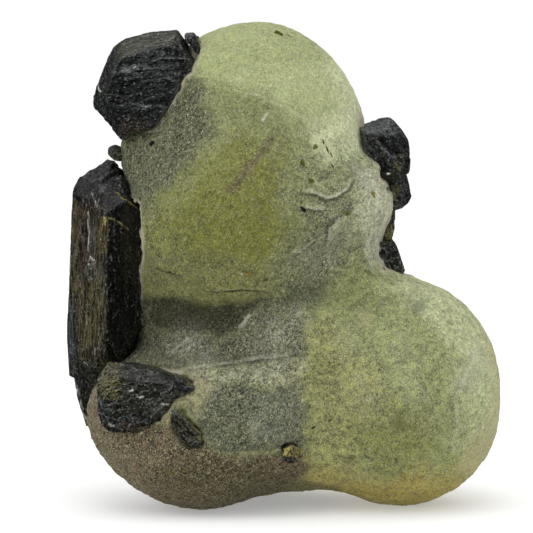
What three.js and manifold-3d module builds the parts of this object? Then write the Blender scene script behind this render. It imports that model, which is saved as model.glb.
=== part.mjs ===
// Prehnite with epidote: a mass of grown-together prehnite balls that carries dark epidote crystals.
// Millimetres, +Z up. The specimen stands on the plane z = 0. -Y is its front, and +X its right.

import * as THREE from 'three';
import { ConvexGeometry } from 'three/addons/geometries/ConvexGeometry.js';
import { mergeVertices } from 'three/addons/utils/BufferGeometryUtils.js';
import Module from 'manifold-3d';

// Driving dimensions

const HEIGHT = 39.7; // the top of the highest ball above the resting plane
const HALF_WIDTH = 17.8; // from the middle plane to either side
const SEAT_GAP = 0.3; // between a crystal and the socket that it grew in
const MASS_DETAIL = 16; // subdivisions of the icosahedron that becomes the mass
const SEARCH_RADIUS = 40; // from where each ray is followed inwards
const SEARCH_STEPS = 90;
const SEARCH_SHARE = 0.9; // of the distance still to go, in each step
const SURFACE_TOLERANCE = 0.002;
const RELAX_PASSES = 10; // rounds that even out the mass's triangles along its surface
const SOFTEN_PASSES = 4; // rounds that then fill its creases softly
const RELAX_SHARE = 0.6; // of the way to the middle of a vertex's neighbours, in each round
const SLOPE_STEP = 0.01;
const MERGE_DISTANCE = 1e-5;
const SMALLEST_REACH = 0.1; // of a corner from the middle of its drawn-in outline
const GROUND_SLAB = 60; // side of the block that cuts the underside flat

// The rays that shape the mass start inside it, each moved away from the middle along its own direction.
// The lean carries those that point right down into the right ball, and those that point up to the left

const RAY_CENTRE = new THREE.Vector3(0.5, 0.3, 14);
const RAY_SPREAD = new THREE.Vector3(7, 3, 9);
const RAY_LEAN = -4.5;

// The balls of the mass: centre, radii along X, Y and Z, and how softly each runs into those before it

const BALLS = [
  { name: 'crown', centre: [-2.45, 0.2, HEIGHT - 7.8], radii: [8.0, 8.0, 7.8], blend: 1.0 },
  { name: 'neck', centre: [-0.45, 0.3, 29.5], radii: [7.25, 7.6, 7.5], blend: 2.0 },
  { name: 'front bulge', centre: [-3.9, -2.6, 24.2], radii: [8.4, 8.2, 8.4], blend: 2.5 },
  { name: 'right flank', centre: [2.6, -0.8, 25.0], radii: [6.55, 7.6, 4.5], blend: 1.6 },
  { name: 'left shoulder', centre: [-8.0, 1.0, 28.2], radii: [5.2, 6.2, 4.6], blend: 2.0 },
  { name: 'core', centre: [-2.0, 1.0, 14.5], radii: [10.2, 8.0, 8.5], blend: 2.5 },
  { name: 'lower front', centre: [-2.6, -2.9, 9.2], radii: [8.0, 7.6, 6.2], blend: 2.0 },
  { name: 'right ball', centre: [9.15, -1.2, 10.2], radii: [8.4, 8.6, 8.65], blend: 0.9 },
  { name: 'right ball base', centre: [9.55, 0.4, 7.4], radii: [8.0, 8.2, 7.7], blend: 1.4 },
  { name: 'left lobe', centre: [-6.9, -2.4, 6.75], radii: [7.8, 8.2, 6.9], blend: 1.6 },
  { name: 'lobe shoulder', centre: [-10.7, -2.0, 7.6], radii: [5.4, 5.6, 5.0], blend: 1.6 },
  { name: 'middle base', centre: [0.6, -0.5, 6.0], radii: [8.0, 7.0, 5.0], blend: 2.0 },
  { name: 'left flank', centre: [-8.6, 1.2, 19.5], radii: [4.6, 6.0, 7.0], blend: 2.0 },
  { name: 'saddle', centre: [1.2, -4.9, 14.6], radii: [4.6, 4.0, 4.2], blend: 1.6 },
  { name: 'rear base', centre: [-3.5, 5.0, 6.9], radii: [8.5, 6.5, 7.2], blend: 1.8 },
  { name: 'rear top', centre: [-1.6, 4.2, 26.0], radii: [7.6, 6.6, 8.0], blend: 1.2 },
  { name: 'rear waist', centre: [-4.6, 5.6, 17.2], radii: [6.4, 5.6, 5.6], blend: 1.2 },
  { name: 'rear right', centre: [6.6, 4.9, 9.6], radii: [7.0, 6.4, 7.6], blend: 1.4 },
  { name: 'flank foot', centre: [4.5, -0.6, 20.0], radii: [3.9, 5.2, 3.4], blend: 1.6 },
  { name: 'ball collar', centre: [5.9, -0.6, 17.8], radii: [4.8, 5.0, 1.95], blend: 1.2 },
];

// Outlines of the crystals, as X and Z seen from the front, each in order round the crystal

const BLOCK_SIDE = [
  [-8.65, 38.85], [-10.8, 38.65], [-12.85, 38.2], [-13.75, 37.5], [-14.25, 36.5], [-15.05, 34.7],
  [-15.4, 33.3], [-15.35, 32.7], [-14.6, 31.9], [-13.1, 30.1], [-10.4, 29.9], [-8.0, 31.6],
  [-6.8, 35.0], [-6.85, 36.4],
];
const BLOCK_FACE = [
  [-8.9, 37.9], [-12.8, 36.95], [-13.7, 35.6], [-14.3, 33.6], [-13.8, 32.4], [-12.4, 31.1],
  [-9.8, 31.4], [-7.5, 33.6], [-7.4, 36.4],
];
const CHIP_SIDE = [
  [-8.15, 38.35], [-7.9, 38.6], [-7.3, 38.75], [-6.9, 38.3], [-6.55, 37.6], [-6.5, 36.9], [-7.2, 36.9],
];
const TINY_SIDE = [
  [-14.2, 29.3], [-13.75, 29.5], [-13.1, 29.25], [-12.7, 28.7], [-13.2, 28.3], [-13.75, 28.3],
  [-14.25, 28.85],
];
const STUB_SIDE = [
  [-14.8, 11.3], [-13.95, 12.4], [-12.9, 12.35], [-10.6, 12.1], [-9.4, 11.75], [-8.2, 11.4],
  [-8.1, 10.0], [-9.0, 8.9], [-9.6, 7.95], [-10.2, 7.4], [-11.8, 7.05], [-13.85, 7.15],
  [-14.5, 7.75], [-14.8, 8.8],
];
const STUB_TIP = [[-8.6, 11.6], [-7.95, 11.35], [-7.1, 10.8], [-7.15, 10.55], [-8.0, 10.1], [-8.8, 10.3]];
const ROD_SIDE = [
  [-8.85, 9.05], [-8.15, 8.75], [-7.25, 8.0], [-6.55, 7.2], [-6.45, 6.45], [-6.75, 6.1],
  [-7.3, 5.95], [-7.75, 6.25], [-8.45, 7.1], [-8.95, 8.1],
];
const RIGHT_TOP_SIDE = [
  [5.9, 31.0], [8.65, 31.75], [9.0, 31.5], [9.65, 30.75], [10.15, 29.95], [10.3, 28.95],
  [10.2, 27.5], [9.6, 26.7], [7.4, 26.6], [5.8, 28.4],
];
const RIGHT_LOW_SIDE = [
  [8.2, 28.0], [9.9, 27.6], [10.25, 26.3], [10.4, 25.4], [10.2, 24.95], [9.7, 24.5], [8.7, 24.2],
  [7.6, 25.2], [7.4, 27.0],
];
const RIDGE_UPPER_SIDE = [
  [8.6, 24.1], [9.1, 23.9], [8.95, 22.9], [9.1, 22.5], [8.8, 21.5], [7.7, 21.3], [7.9, 23.2],
];
const RIDGE_LOWER_SIDE = [
  [8.8, 21.9], [9.25, 21.25], [9.45, 20.3], [9.9, 19.4], [9.8, 19.2], [8.4, 19.2], [7.6, 19.8],
  [7.5, 21.7],
];
const GRAIN_SIDE = [[-0.1, 5.8], [0.7, 6.05], [1.35, 5.65], [1.25, 4.6], [0.55, 4.4], [-0.05, 4.85]];

// The upright crystals at the left: corners as X, Y and Z, with a roof of sloping faces at the top

const REAR_PRISM = [
  [-14.4, 1.2, 28.3], [-13.8, 0.6, 28.25], [-13.5, 0.2, 27.0], [-16.8, 1.6, 26.9],
  [-17.3, 0.0, 25.6], [-17.2, 3.0, 25.8], [-15.8, -1.6, 25.2], [-12.0, 3.6, 26.2], [-15.4, 4.6, 25.6],
  [-HALF_WIDTH, 1.4, 14.2], [-17.5, 0.0, 12.4], [-15.9, -1.6, 12.0], [-16.2, 4.4, 12.6], [-12.6, 4.4, 13.0],
  [-12.2, 0.4, 13.0], [-17.6, 1.6, 10.4], [-16.6, 3.6, 9.8], [-14.6, 3.0, 9.6], [-15.2, -0.6, 9.8],
];
const FRONT_PRISM = [
  [-13.2, -1.6, 27.1], [-13.9, -1.2, 26.95], [-14.8, -3.0, 25.9], [-15.7, -1.6, 25.8],
  [-14.4, -4.5, 24.2], [-12.9, -4.3, 25.2], [-11.6, -3.4, 24.1], [-11.7, -2.6, 24.9],
  [-10.8, 0.6, 24.6], [-12.6, 2.2, 25.6], [-15.9, 1.4, 24.6],
  [-15.95, -2.6, 14.0], [-14.3, -4.7, 14.2], [-11.8, -3.4, 15.2], [-11.2, 0.6, 14.0],
  [-13.0, 2.2, 12.4], [-15.8, 1.2, 12.0], [-13.4, -4.0, 12.4], [-12.9, -2.2, 11.8],
];
const LOW_PRISM = [
  [-14.9, -3.4, 20.3], [-15.9, -2.9, 20.1], [-16.6, -2.2, 18.8], [-14.4, -4.5, 18.6], [-15.2, 0.4, 20.0],
  [-13.2, -2.0, 18.0], [-16.7, -0.4, 18.4], [-16.8, -2.0, 12.2], [-15.3, -3.9, 11.8], [-14.2, -4.1, 12.6],
  [-13.4, -2.4, 11.2], [-16.4, -0.2, 10.8], [-14.6, 0.4, 10.6],
];
const SPLINTER = [
  [-17.45, 1.2, 11.8], [-17.2, 3.2, 12.0], [-15.0, 3.4, 11.6], [-14.8, 0.0, 11.6], [-16.9, 0.4, 8.8],
  [-16.7, 2.8, 8.7], [-14.6, 3.0, 7.4], [-14.7, 0.4, 7.2], [-16.2, 0.8, 6.3], [-15.6, 1.0, 5.1],
  [-15.3, 1.6, 5.3],
];

const wasm = await Module();
wasm.setup();

// From a geometry to a solid and back

function solidOf(geometry) {
  let plain = geometry.index ? geometry.toNonIndexed() : geometry.clone();
  for (const name of Object.keys(plain.attributes)) {
    if (name !== 'position') plain.deleteAttribute(name);
  }
  plain = mergeVertices(plain, MERGE_DISTANCE);
  const vertProperties = new Float32Array(plain.attributes.position.array);
  const triVerts = new Uint32Array(plain.index.array);
  return new wasm.Manifold(new wasm.Mesh({ numProp: 3, vertProperties, triVerts }));
}

function geometryOf(solid) {
  const mesh = solid.getMesh();
  const geometry = new THREE.BufferGeometry();
  geometry.setAttribute('position', new THREE.BufferAttribute(new Float32Array(mesh.vertProperties), 3));
  geometry.setIndex(new THREE.BufferAttribute(new Uint32Array(mesh.triVerts), 1));
  geometry.computeVertexNormals();
  return geometry;
}

// A convex crystal round its corners. A grown one stands SEAT_GAP further out, and cuts the socket

function hull(corners, grow) {
  const points = [];
  for (const [x, y, z] of corners) {
    if (grow === 0) {
      points.push(new THREE.Vector3(x, y, z));
      continue;
    }
    for (const dx of [-grow, grow]) {
      for (const dy of [-grow, grow]) {
        for (const dz of [-grow, grow]) points.push(new THREE.Vector3(x + dx, y + dy, z + dz));
      }
    }
  }
  return solidOf(new ConvexGeometry(points));
}

function ring(outline, y) {
  return outline.map(([x, z]) => [x, y, z]);
}

function drawnIn(outline, distance) {
  const centre = new THREE.Vector2();
  for (const [x, z] of outline) centre.add(new THREE.Vector2(x, z));
  centre.divideScalar(outline.length);
  return outline.map(([x, z]) => {
    const away = new THREE.Vector2(x, z).sub(centre);
    away.setLength(Math.max(away.length() - distance, SMALLEST_REACH));
    return [centre.x + away.x, centre.y + away.y];
  });
}

// A crystal with one outline, whose front and back faces are smaller than its middle

function bevelled(outline, front, back, bevel, grow) {
  return hull([
    ...ring(drawnIn(outline, bevel), front),
    ...ring(outline, front + bevel),
    ...ring(outline, back - bevel),
    ...ring(drawnIn(outline, bevel), back),
  ], grow);
}

function joined(solids) {
  return solids.reduce((whole, solid) => whole.add(solid));
}

// The crystals. Each function makes the crystal, or its socket when it is given a growth

function upperLeftBlock(grow) {
  return hull([
    ...ring(BLOCK_FACE, -4.3),
    ...ring(BLOCK_SIDE, -2.0),
    ...ring(BLOCK_SIDE, 2.2),
    ...ring(drawnIn(BLOCK_SIDE, 1.0), 4.2),
  ], grow);
}

function upperLeftChip(grow) {
  return bevelled(CHIP_SIDE, -3.4, 0.8, 0.3, grow);
}

function tinyLeft(grow) {
  return bevelled(TINY_SIDE, -1.0, 1.0, 0.3, grow);
}

function leftColumns(grow) {
  return joined([REAR_PRISM, FRONT_PRISM, LOW_PRISM, SPLINTER].map((corners) => hull(corners, grow)));
}

function lowerLeftStub(grow) {
  return joined([
    bevelled(STUB_SIDE, -10.1, -4.8, 1.0, grow),
    bevelled(STUB_TIP, -10.0, -7.0, 0.3, grow),
  ]);
}

function lowerLeftRod(grow) {
  return bevelled(ROD_SIDE, -11.2, -9.4, 0.3, grow);
}

function rightBlock(grow) {
  return joined([
    bevelled(RIGHT_TOP_SIDE, -3.2, 3.6, 0.8, grow),
    bevelled(RIGHT_LOW_SIDE, -1.8, 3.0, 0.7, grow),
  ]);
}

function rightRidge(grow) {
  return joined([
    bevelled(RIDGE_UPPER_SIDE, -1.2, 2.2, 0.25, grow),
    bevelled(RIDGE_LOWER_SIDE, -2.0, 2.6, 0.3, grow),
  ]);
}

function baseGrain(grow) {
  return bevelled(GRAIN_SIDE, -8.9, -7.2, 0.2, grow);
}

const CRYSTALS = [
  { name: 'epidote_upper_left_block', make: upperLeftBlock, colour: 0x1d2325, roughness: 0.35 },
  {
    name: 'epidote_upper_left_chip', make: upperLeftChip, behind: upperLeftBlock,
    colour: 0x4a525a, roughness: 0.4,
  },
  { name: 'epidote_tiny_left', make: tinyLeft, colour: 0x3a3c2e, roughness: 0.4 },
  { name: 'epidote_left_columns', make: leftColumns, colour: 0x1c1b14, roughness: 0.3 },
  { name: 'epidote_lower_left_stub', make: lowerLeftStub, colour: 0x2b2d29, roughness: 0.45 },
  { name: 'epidote_lower_left_rod', make: lowerLeftRod, colour: 0x2a2417, roughness: 0.4 },
  { name: 'epidote_right_block', make: rightBlock, colour: 0x272a28, roughness: 0.4 },
  {
    name: 'epidote_right_ridge', make: rightRidge, behind: rightBlock,
    colour: 0x2f3124, roughness: 0.4,
  },
  { name: 'epidote_base_grain', make: baseGrain, colour: 0x4a4420, roughness: 0.4 },
];

// The prehnite mass: the soft union of its balls

function ballDistance(point, ball) {
  let scaled = 0;
  let steep = 0;
  for (let axis = 0; axis < 3; axis += 1) {
    const offset = point.getComponent(axis) - ball.centre[axis];
    const radius = ball.radii[axis];
    scaled += (offset / radius) ** 2;
    steep += (offset / (radius * radius)) ** 2;
  }
  const ratio = Math.sqrt(scaled);
  return (ratio * (ratio - 1)) / Math.max(Math.sqrt(steep), 1e-9);
}

function softUnion(a, b, softness) {
  const overlap = Math.max(softness - Math.abs(a - b), 0) / softness;
  return Math.min(a, b) - (overlap * overlap * softness) / 4;
}

function massDistance(point) {
  let distance = ballDistance(point, BALLS[0]);
  for (const ball of BALLS.slice(1)) distance = softUnion(distance, ballDistance(point, ball), ball.blend);
  return distance;
}

function surfacePoint(direction) {
  const start = RAY_CENTRE.clone().add(direction.clone().multiply(RAY_SPREAD));
  start.x += RAY_LEAN * direction.z;
  start.z += RAY_LEAN * direction.x;
  const point = new THREE.Vector3();
  let reach = SEARCH_RADIUS;
  for (let step = 0; step < SEARCH_STEPS; step += 1) {
    point.copy(start).addScaledVector(direction, reach);
    const distance = massDistance(point);
    if (distance < SURFACE_TOLERANCE) break;
    reach -= distance * SEARCH_SHARE;
  }
  return point;
}

function surfaceNormal(point) {
  const normal = new THREE.Vector3();
  const beside = new THREE.Vector3();
  for (let axis = 0; axis < 3; axis += 1) {
    beside.copy(point).setComponent(axis, point.getComponent(axis) + SLOPE_STEP);
    const ahead = massDistance(beside);
    beside.setComponent(axis, point.getComponent(axis) - SLOPE_STEP);
    normal.setComponent(axis, ahead - massDistance(beside));
  }
  return normal.normalize();
}

// Moves each vertex towards its neighbours and then back onto the surface, so that no crease is ragged.
// In the last rounds a vertex that has come to hang over a crease stays there

function evenOut(geometry) {
  const positions = geometry.attributes.position;
  const corners = geometry.index.array;
  const neighbours = Array.from({ length: positions.count }, () => new Set());
  for (let corner = 0; corner < corners.length; corner += 3) {
    const [a, b, c] = corners.slice(corner, corner + 3);
    neighbours[a].add(b).add(c);
    neighbours[b].add(c).add(a);
    neighbours[c].add(a).add(b);
  }
  const places = neighbours.map((_, index) => new THREE.Vector3().fromBufferAttribute(positions, index));
  for (let pass = 0; pass < RELAX_PASSES + SOFTEN_PASSES; pass += 1) {
    const moved = places.map((place, index) => {
      const middle = new THREE.Vector3();
      for (const neighbour of neighbours[index]) middle.add(places[neighbour]);
      middle.divideScalar(neighbours[index].size);
      const point = place.clone().lerp(middle, RELAX_SHARE);
      const distance = massDistance(point);
      if (pass >= RELAX_PASSES && distance > 0) return point;
      return point.addScaledVector(surfaceNormal(point), -distance);
    });
    moved.forEach((point, index) => places[index].copy(point));
  }
  places.forEach((place, index) => positions.setXYZ(index, place.x, place.y, place.z));
}

function prehniteMass() {
  let sphere = new THREE.IcosahedronGeometry(1, MASS_DETAIL);
  sphere.deleteAttribute('normal');
  sphere.deleteAttribute('uv');
  sphere = mergeVertices(sphere, MERGE_DISTANCE);
  const positions = sphere.attributes.position;
  const direction = new THREE.Vector3();
  for (let index = 0; index < positions.count; index += 1) {
    direction.fromBufferAttribute(positions, index).normalize();
    const point = surfacePoint(direction);
    positions.setXYZ(index, point.x, point.y, point.z);
  }
  evenOut(sphere);
  const slab = new THREE.BoxGeometry(GROUND_SLAB, GROUND_SLAB, GROUND_SLAB);
  slab.translate(0, 0, -GROUND_SLAB / 2);
  let mass = solidOf(sphere).subtract(solidOf(slab));
  for (const crystal of CRYSTALS) mass = mass.subtract(crystal.make(SEAT_GAP));
  return mass;
}

// The specimen

const specimen = new THREE.Group();
specimen.name = 'prehnite_with_epidote';

function addPiece(name, solid, colour, roughness) {
  const material = new THREE.MeshStandardMaterial({ color: colour, roughness, metalness: 0 });
  const mesh = new THREE.Mesh(geometryOf(solid), material);
  mesh.name = name;
  specimen.add(mesh);
}

addPiece('prehnite_mass', prehniteMass(), 0x8f9468, 0.55);
for (const crystal of CRYSTALS) {
  let solid = crystal.make(0);
  if (crystal.behind) solid = solid.subtract(crystal.behind(SEAT_GAP));
  addPiece(crystal.name, solid, crystal.colour, crystal.roughness);
}

export default specimen;
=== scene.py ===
"""Looks of a prehnite specimen with epidote crystals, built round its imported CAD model.

The script is a Blender add-on: its settings and its buttons are in the 3D view's sidebar, under Prehnite.
Lengths in the shaping code are millimetres, and each mesh is written in metres. -Y is the specimen's front.
"""

import itertools
import math

import bmesh
import bpy
import numpy as np
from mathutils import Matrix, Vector


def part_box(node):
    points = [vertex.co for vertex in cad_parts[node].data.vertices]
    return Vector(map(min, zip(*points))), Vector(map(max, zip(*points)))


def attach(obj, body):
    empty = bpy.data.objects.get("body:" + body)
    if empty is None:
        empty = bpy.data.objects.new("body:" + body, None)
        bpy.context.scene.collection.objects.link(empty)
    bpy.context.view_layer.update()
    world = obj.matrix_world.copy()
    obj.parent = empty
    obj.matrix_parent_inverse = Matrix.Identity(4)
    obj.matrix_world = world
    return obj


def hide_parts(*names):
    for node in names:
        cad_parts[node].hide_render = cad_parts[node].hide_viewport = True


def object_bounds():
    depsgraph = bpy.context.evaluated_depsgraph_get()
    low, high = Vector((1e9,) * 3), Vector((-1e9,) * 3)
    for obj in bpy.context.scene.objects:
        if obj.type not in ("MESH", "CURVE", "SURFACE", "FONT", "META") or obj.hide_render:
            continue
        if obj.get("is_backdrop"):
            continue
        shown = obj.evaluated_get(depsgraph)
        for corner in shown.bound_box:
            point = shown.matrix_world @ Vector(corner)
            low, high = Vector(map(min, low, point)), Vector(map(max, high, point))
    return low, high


bl_info = {
    "name": "Prehnite with epidote",
    "version": (1, 0, 0),
    "blender": (4, 5, 0),
    "location": "3D View > Sidebar > Prehnite",
    "description": "Builds a frosted green prehnite mass with dark epidote crystals and its stage",
    "category": "Object",
}

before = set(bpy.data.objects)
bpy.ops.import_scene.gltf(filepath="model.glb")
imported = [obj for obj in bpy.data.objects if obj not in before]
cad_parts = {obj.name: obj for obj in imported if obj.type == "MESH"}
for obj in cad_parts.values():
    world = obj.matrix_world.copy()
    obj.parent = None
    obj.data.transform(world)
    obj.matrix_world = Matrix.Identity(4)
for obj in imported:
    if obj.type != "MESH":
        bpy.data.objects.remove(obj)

MM = 0.001

# The Y of the normals at which the front has ended and at which it is whole, and how far that wanders

FRONT_FADE = (0.8, 0.25)
FRONT_WANDER = 0.2

# The balls of the prehnite mass: centre, radii, and how softly each runs into those before it

BALLS = {
    "crown": ((-2.45, 0.2, 31.9), (8.0, 8.0, 7.8), 1.0),
    "neck": ((-0.45, 0.3, 29.5), (7.25, 7.6, 7.5), 2.0),
    "front bulge": ((-3.9, -2.6, 24.2), (8.4, 8.2, 8.4), 2.5),
    "right flank": ((2.6, -0.8, 25.0), (6.55, 7.6, 4.5), 1.6),
    "left shoulder": ((-8.0, 1.0, 28.2), (5.2, 6.2, 4.6), 2.0),
    "core": ((-2.0, 1.0, 14.5), (10.2, 8.0, 8.5), 2.5),
    "lower front": ((-2.6, -2.9, 9.2), (8.0, 7.6, 6.2), 2.0),
    "right ball": ((9.15, -1.2, 10.2), (8.4, 8.6, 8.65), 0.9),
    "right ball base": ((9.55, 0.4, 7.4), (8.0, 8.2, 7.7), 1.4),
    "left lobe": ((-6.9, -2.4, 6.75), (7.8, 8.2, 6.9), 1.6),
    "lobe shoulder": ((-10.7, -2.0, 7.6), (5.4, 5.6, 5.0), 1.6),
    "middle base": ((0.6, -0.5, 6.0), (8.0, 7.0, 5.0), 2.0),
    "left flank": ((-8.6, 1.2, 19.5), (4.6, 6.0, 7.0), 2.0),
    "saddle": ((1.2, -4.9, 14.6), (4.6, 4.0, 4.2), 1.6),
    "rear base": ((-3.5, 5.0, 6.9), (8.5, 6.5, 7.2), 1.8),
    "rear top": ((-1.6, 4.2, 26.0), (7.6, 6.6, 8.0), 1.2),
    "rear waist": ((-4.6, 5.6, 17.2), (6.4, 5.6, 5.6), 1.2),
    "rear right": ((6.6, 4.9, 9.6), (7.0, 6.4, 7.6), 1.4),
    "flank foot": ((4.5, -0.6, 20.0), (3.9, 5.2, 3.4), 1.6),
    "ball collar": ((5.9, -0.6, 17.8), (4.8, 5.0, 1.95), 1.2),
}

# How the surface is found: rays start on an ellipsoid inside the mass, with this middle, radii and lean. They
# are first this long, and take so many steps back to the surface, each that share of the way

RAY_CENTRE = (0.5, 0.3, 14.0)
RAY_SPREAD = (7.0, 3.0, 9.0)
RAY_LEAN = -4.5
RAY_LENGTH = 40.0
RAY_STEPS = 45
RAY_STRIDE = 0.9

# How its vertices are evened out: rounds, the share of the way to their neighbours' middle, and the round
# from which those outside the surface stay there, which softens the creases

EVEN_ROUNDS = 13
EVEN_SHARE = 0.6
CREASE_ROUND = 9

# Noises of the prehnite: size in millimetres, seed and octaves

NOISES = {"front": (4.0, 161, 3), "back": (7.0, 141, 2), "swell": (4.5, 1, 3), "hollow": (2.6, 101, 2)}

# How far outlines and lines wander: size in millimetres, a seed each for X and Z, and octaves. Then by how
# many millimetres, which for a zone is a least distance and one that goes with its softness

WARPS = {
    "zones": (3.4, (21, 31), 2), "zones, fine": (0.9, (26, 36), 3), "steps": (1.0, (81, 91), 3),
    "windows": (0.9, (121, 131), 3), "marks": (0.7, (271, 281), 2),
}
FINE_WARP = 0.6
ZONE_WARP = (0.25, 0.4)
STEP_WARP = 0.14
STREAK_WARP = 0.25
WINDOW_WARP = 0.3
MARK_WARP = 0.12

# Colours of the back, in this order: share, and the fades over its noise, its X and its Z, where it has them

BACK = {
    "frost": (0.5, {"noise": (-0.1, 0.5)}),
    "crown": (1.0, {"z": (27, 34)}),
    "ball": (1.0, {"x": (1, 5), "z": (21, 17)}),
    "shade": (0.4, {"noise": (-0.2, -0.6)}),
    "lobe": (0.8, {"z": (8, 2)}),
}
PLAIN_GRAIN = 0.6
BACK_GRAIN = 0.7
GRAIN_LIMIT = 2.0

# Where a crystal shows through the prehnite: how far back the prehnite lies under it, how wide the beige
# crust beside it is as a share of the crust's width, and its outline as X and Z. Then the Y of the normals
# over which a window ends, how its edge falls off, and how far behind it the crust fades

WINDOWS = {
    "block": {
        "back": -2.9, "crust": 1.0,
        "outline": [
            (-6.6, 41.0), (-6.7, 38.2), (-6.9, 37.2), (-7.2, 36.5), (-7.3, 35.8), (-8.0, 35.3), (-8.5, 34.3),
            (-9.2, 33.1), (-9.9, 32.1), (-10.5, 31.1), (-11.2, 30.9), (-12.3, 30.8), (-13.1, 30.2),
            (-18.5, 30.2), (-18.5, 41.0),
        ],
    },
    "columns": {
        "back": -2.4, "crust": 0.7,
        "outline": [
            (-13.3, 28.3), (-13.1, 26.4), (-12.3, 25.4), (-11.6, 25.0), (-11.5, 21.3), (-11.8, 17.9),
            (-12.1, 14.5), (-12.9, 13.7), (-13.2, 12.6), (-15.1, 11.2), (-18.5, 11.2), (-18.5, 28.3),
        ],
    },
    "stub": {
        "back": -8.0, "crust": 0.5,
        "outline": [
            (-15.0, 11.1), (-14.1, 12.2), (-13.0, 12.3), (-10.7, 12.2), (-9.6, 12.0), (-8.4, 11.9),
            (-7.9, 11.7), (-7.0, 11.3), (-7.1, 11.0), (-7.9, 10.6), (-8.5, 10.1), (-8.9, 9.4),
            (-9.5, 8.5), (-10.1, 7.9), (-11.8, 7.5), (-13.9, 7.3), (-14.6, 7.8), (-15.0, 8.7),
        ],
    },
    "rod": {
        "back": -9.7, "crust": 0.0,
        "outline": [
            (-8.9, 9.3), (-8.1, 9.0), (-7.2, 8.2), (-6.5, 7.3), (-6.3, 6.5), (-6.7, 6.0), (-7.4, 5.8),
            (-7.9, 6.2), (-8.6, 7.1), (-9.1, 8.1),
        ],
    },
    "grain": {
        "back": -7.6, "crust": 0.0,
        "outline": [(-0.1, 5.8), (0.7, 6.05), (1.35, 5.65), (1.25, 4.6), (0.55, 4.4), (-0.05, 4.85)],
    },
    "right": {
        "back": -1.6, "crust": 0.9,
        "outline": [
            (6.2, 32.4), (6.4, 30.6), (6.7, 29.3), (7.0, 28.8), (7.6, 28.1), (7.8, 27.1), (8.5, 26.6),
            (8.6, 26.0), (9.1, 25.5), (8.8, 24.0), (8.4, 23.3), (8.2, 22.2), (8.0, 21.0), (8.3, 19.6),
            (12.0, 19.2), (12.0, 32.4),
        ],
    },
}

WINDOW_FADE = (0.6, 0.4)
WINDOW_EDGE = (-0.02, 0.14)
CRUST_DEPTH = (0.5, 2.5)

# Parts of the prehnite's front, painted in this order. Each has a colour of the settings, how strongly it
# covers what is under it, the strength of its grain, the softness of its edge and its outline as X and Z

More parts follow.
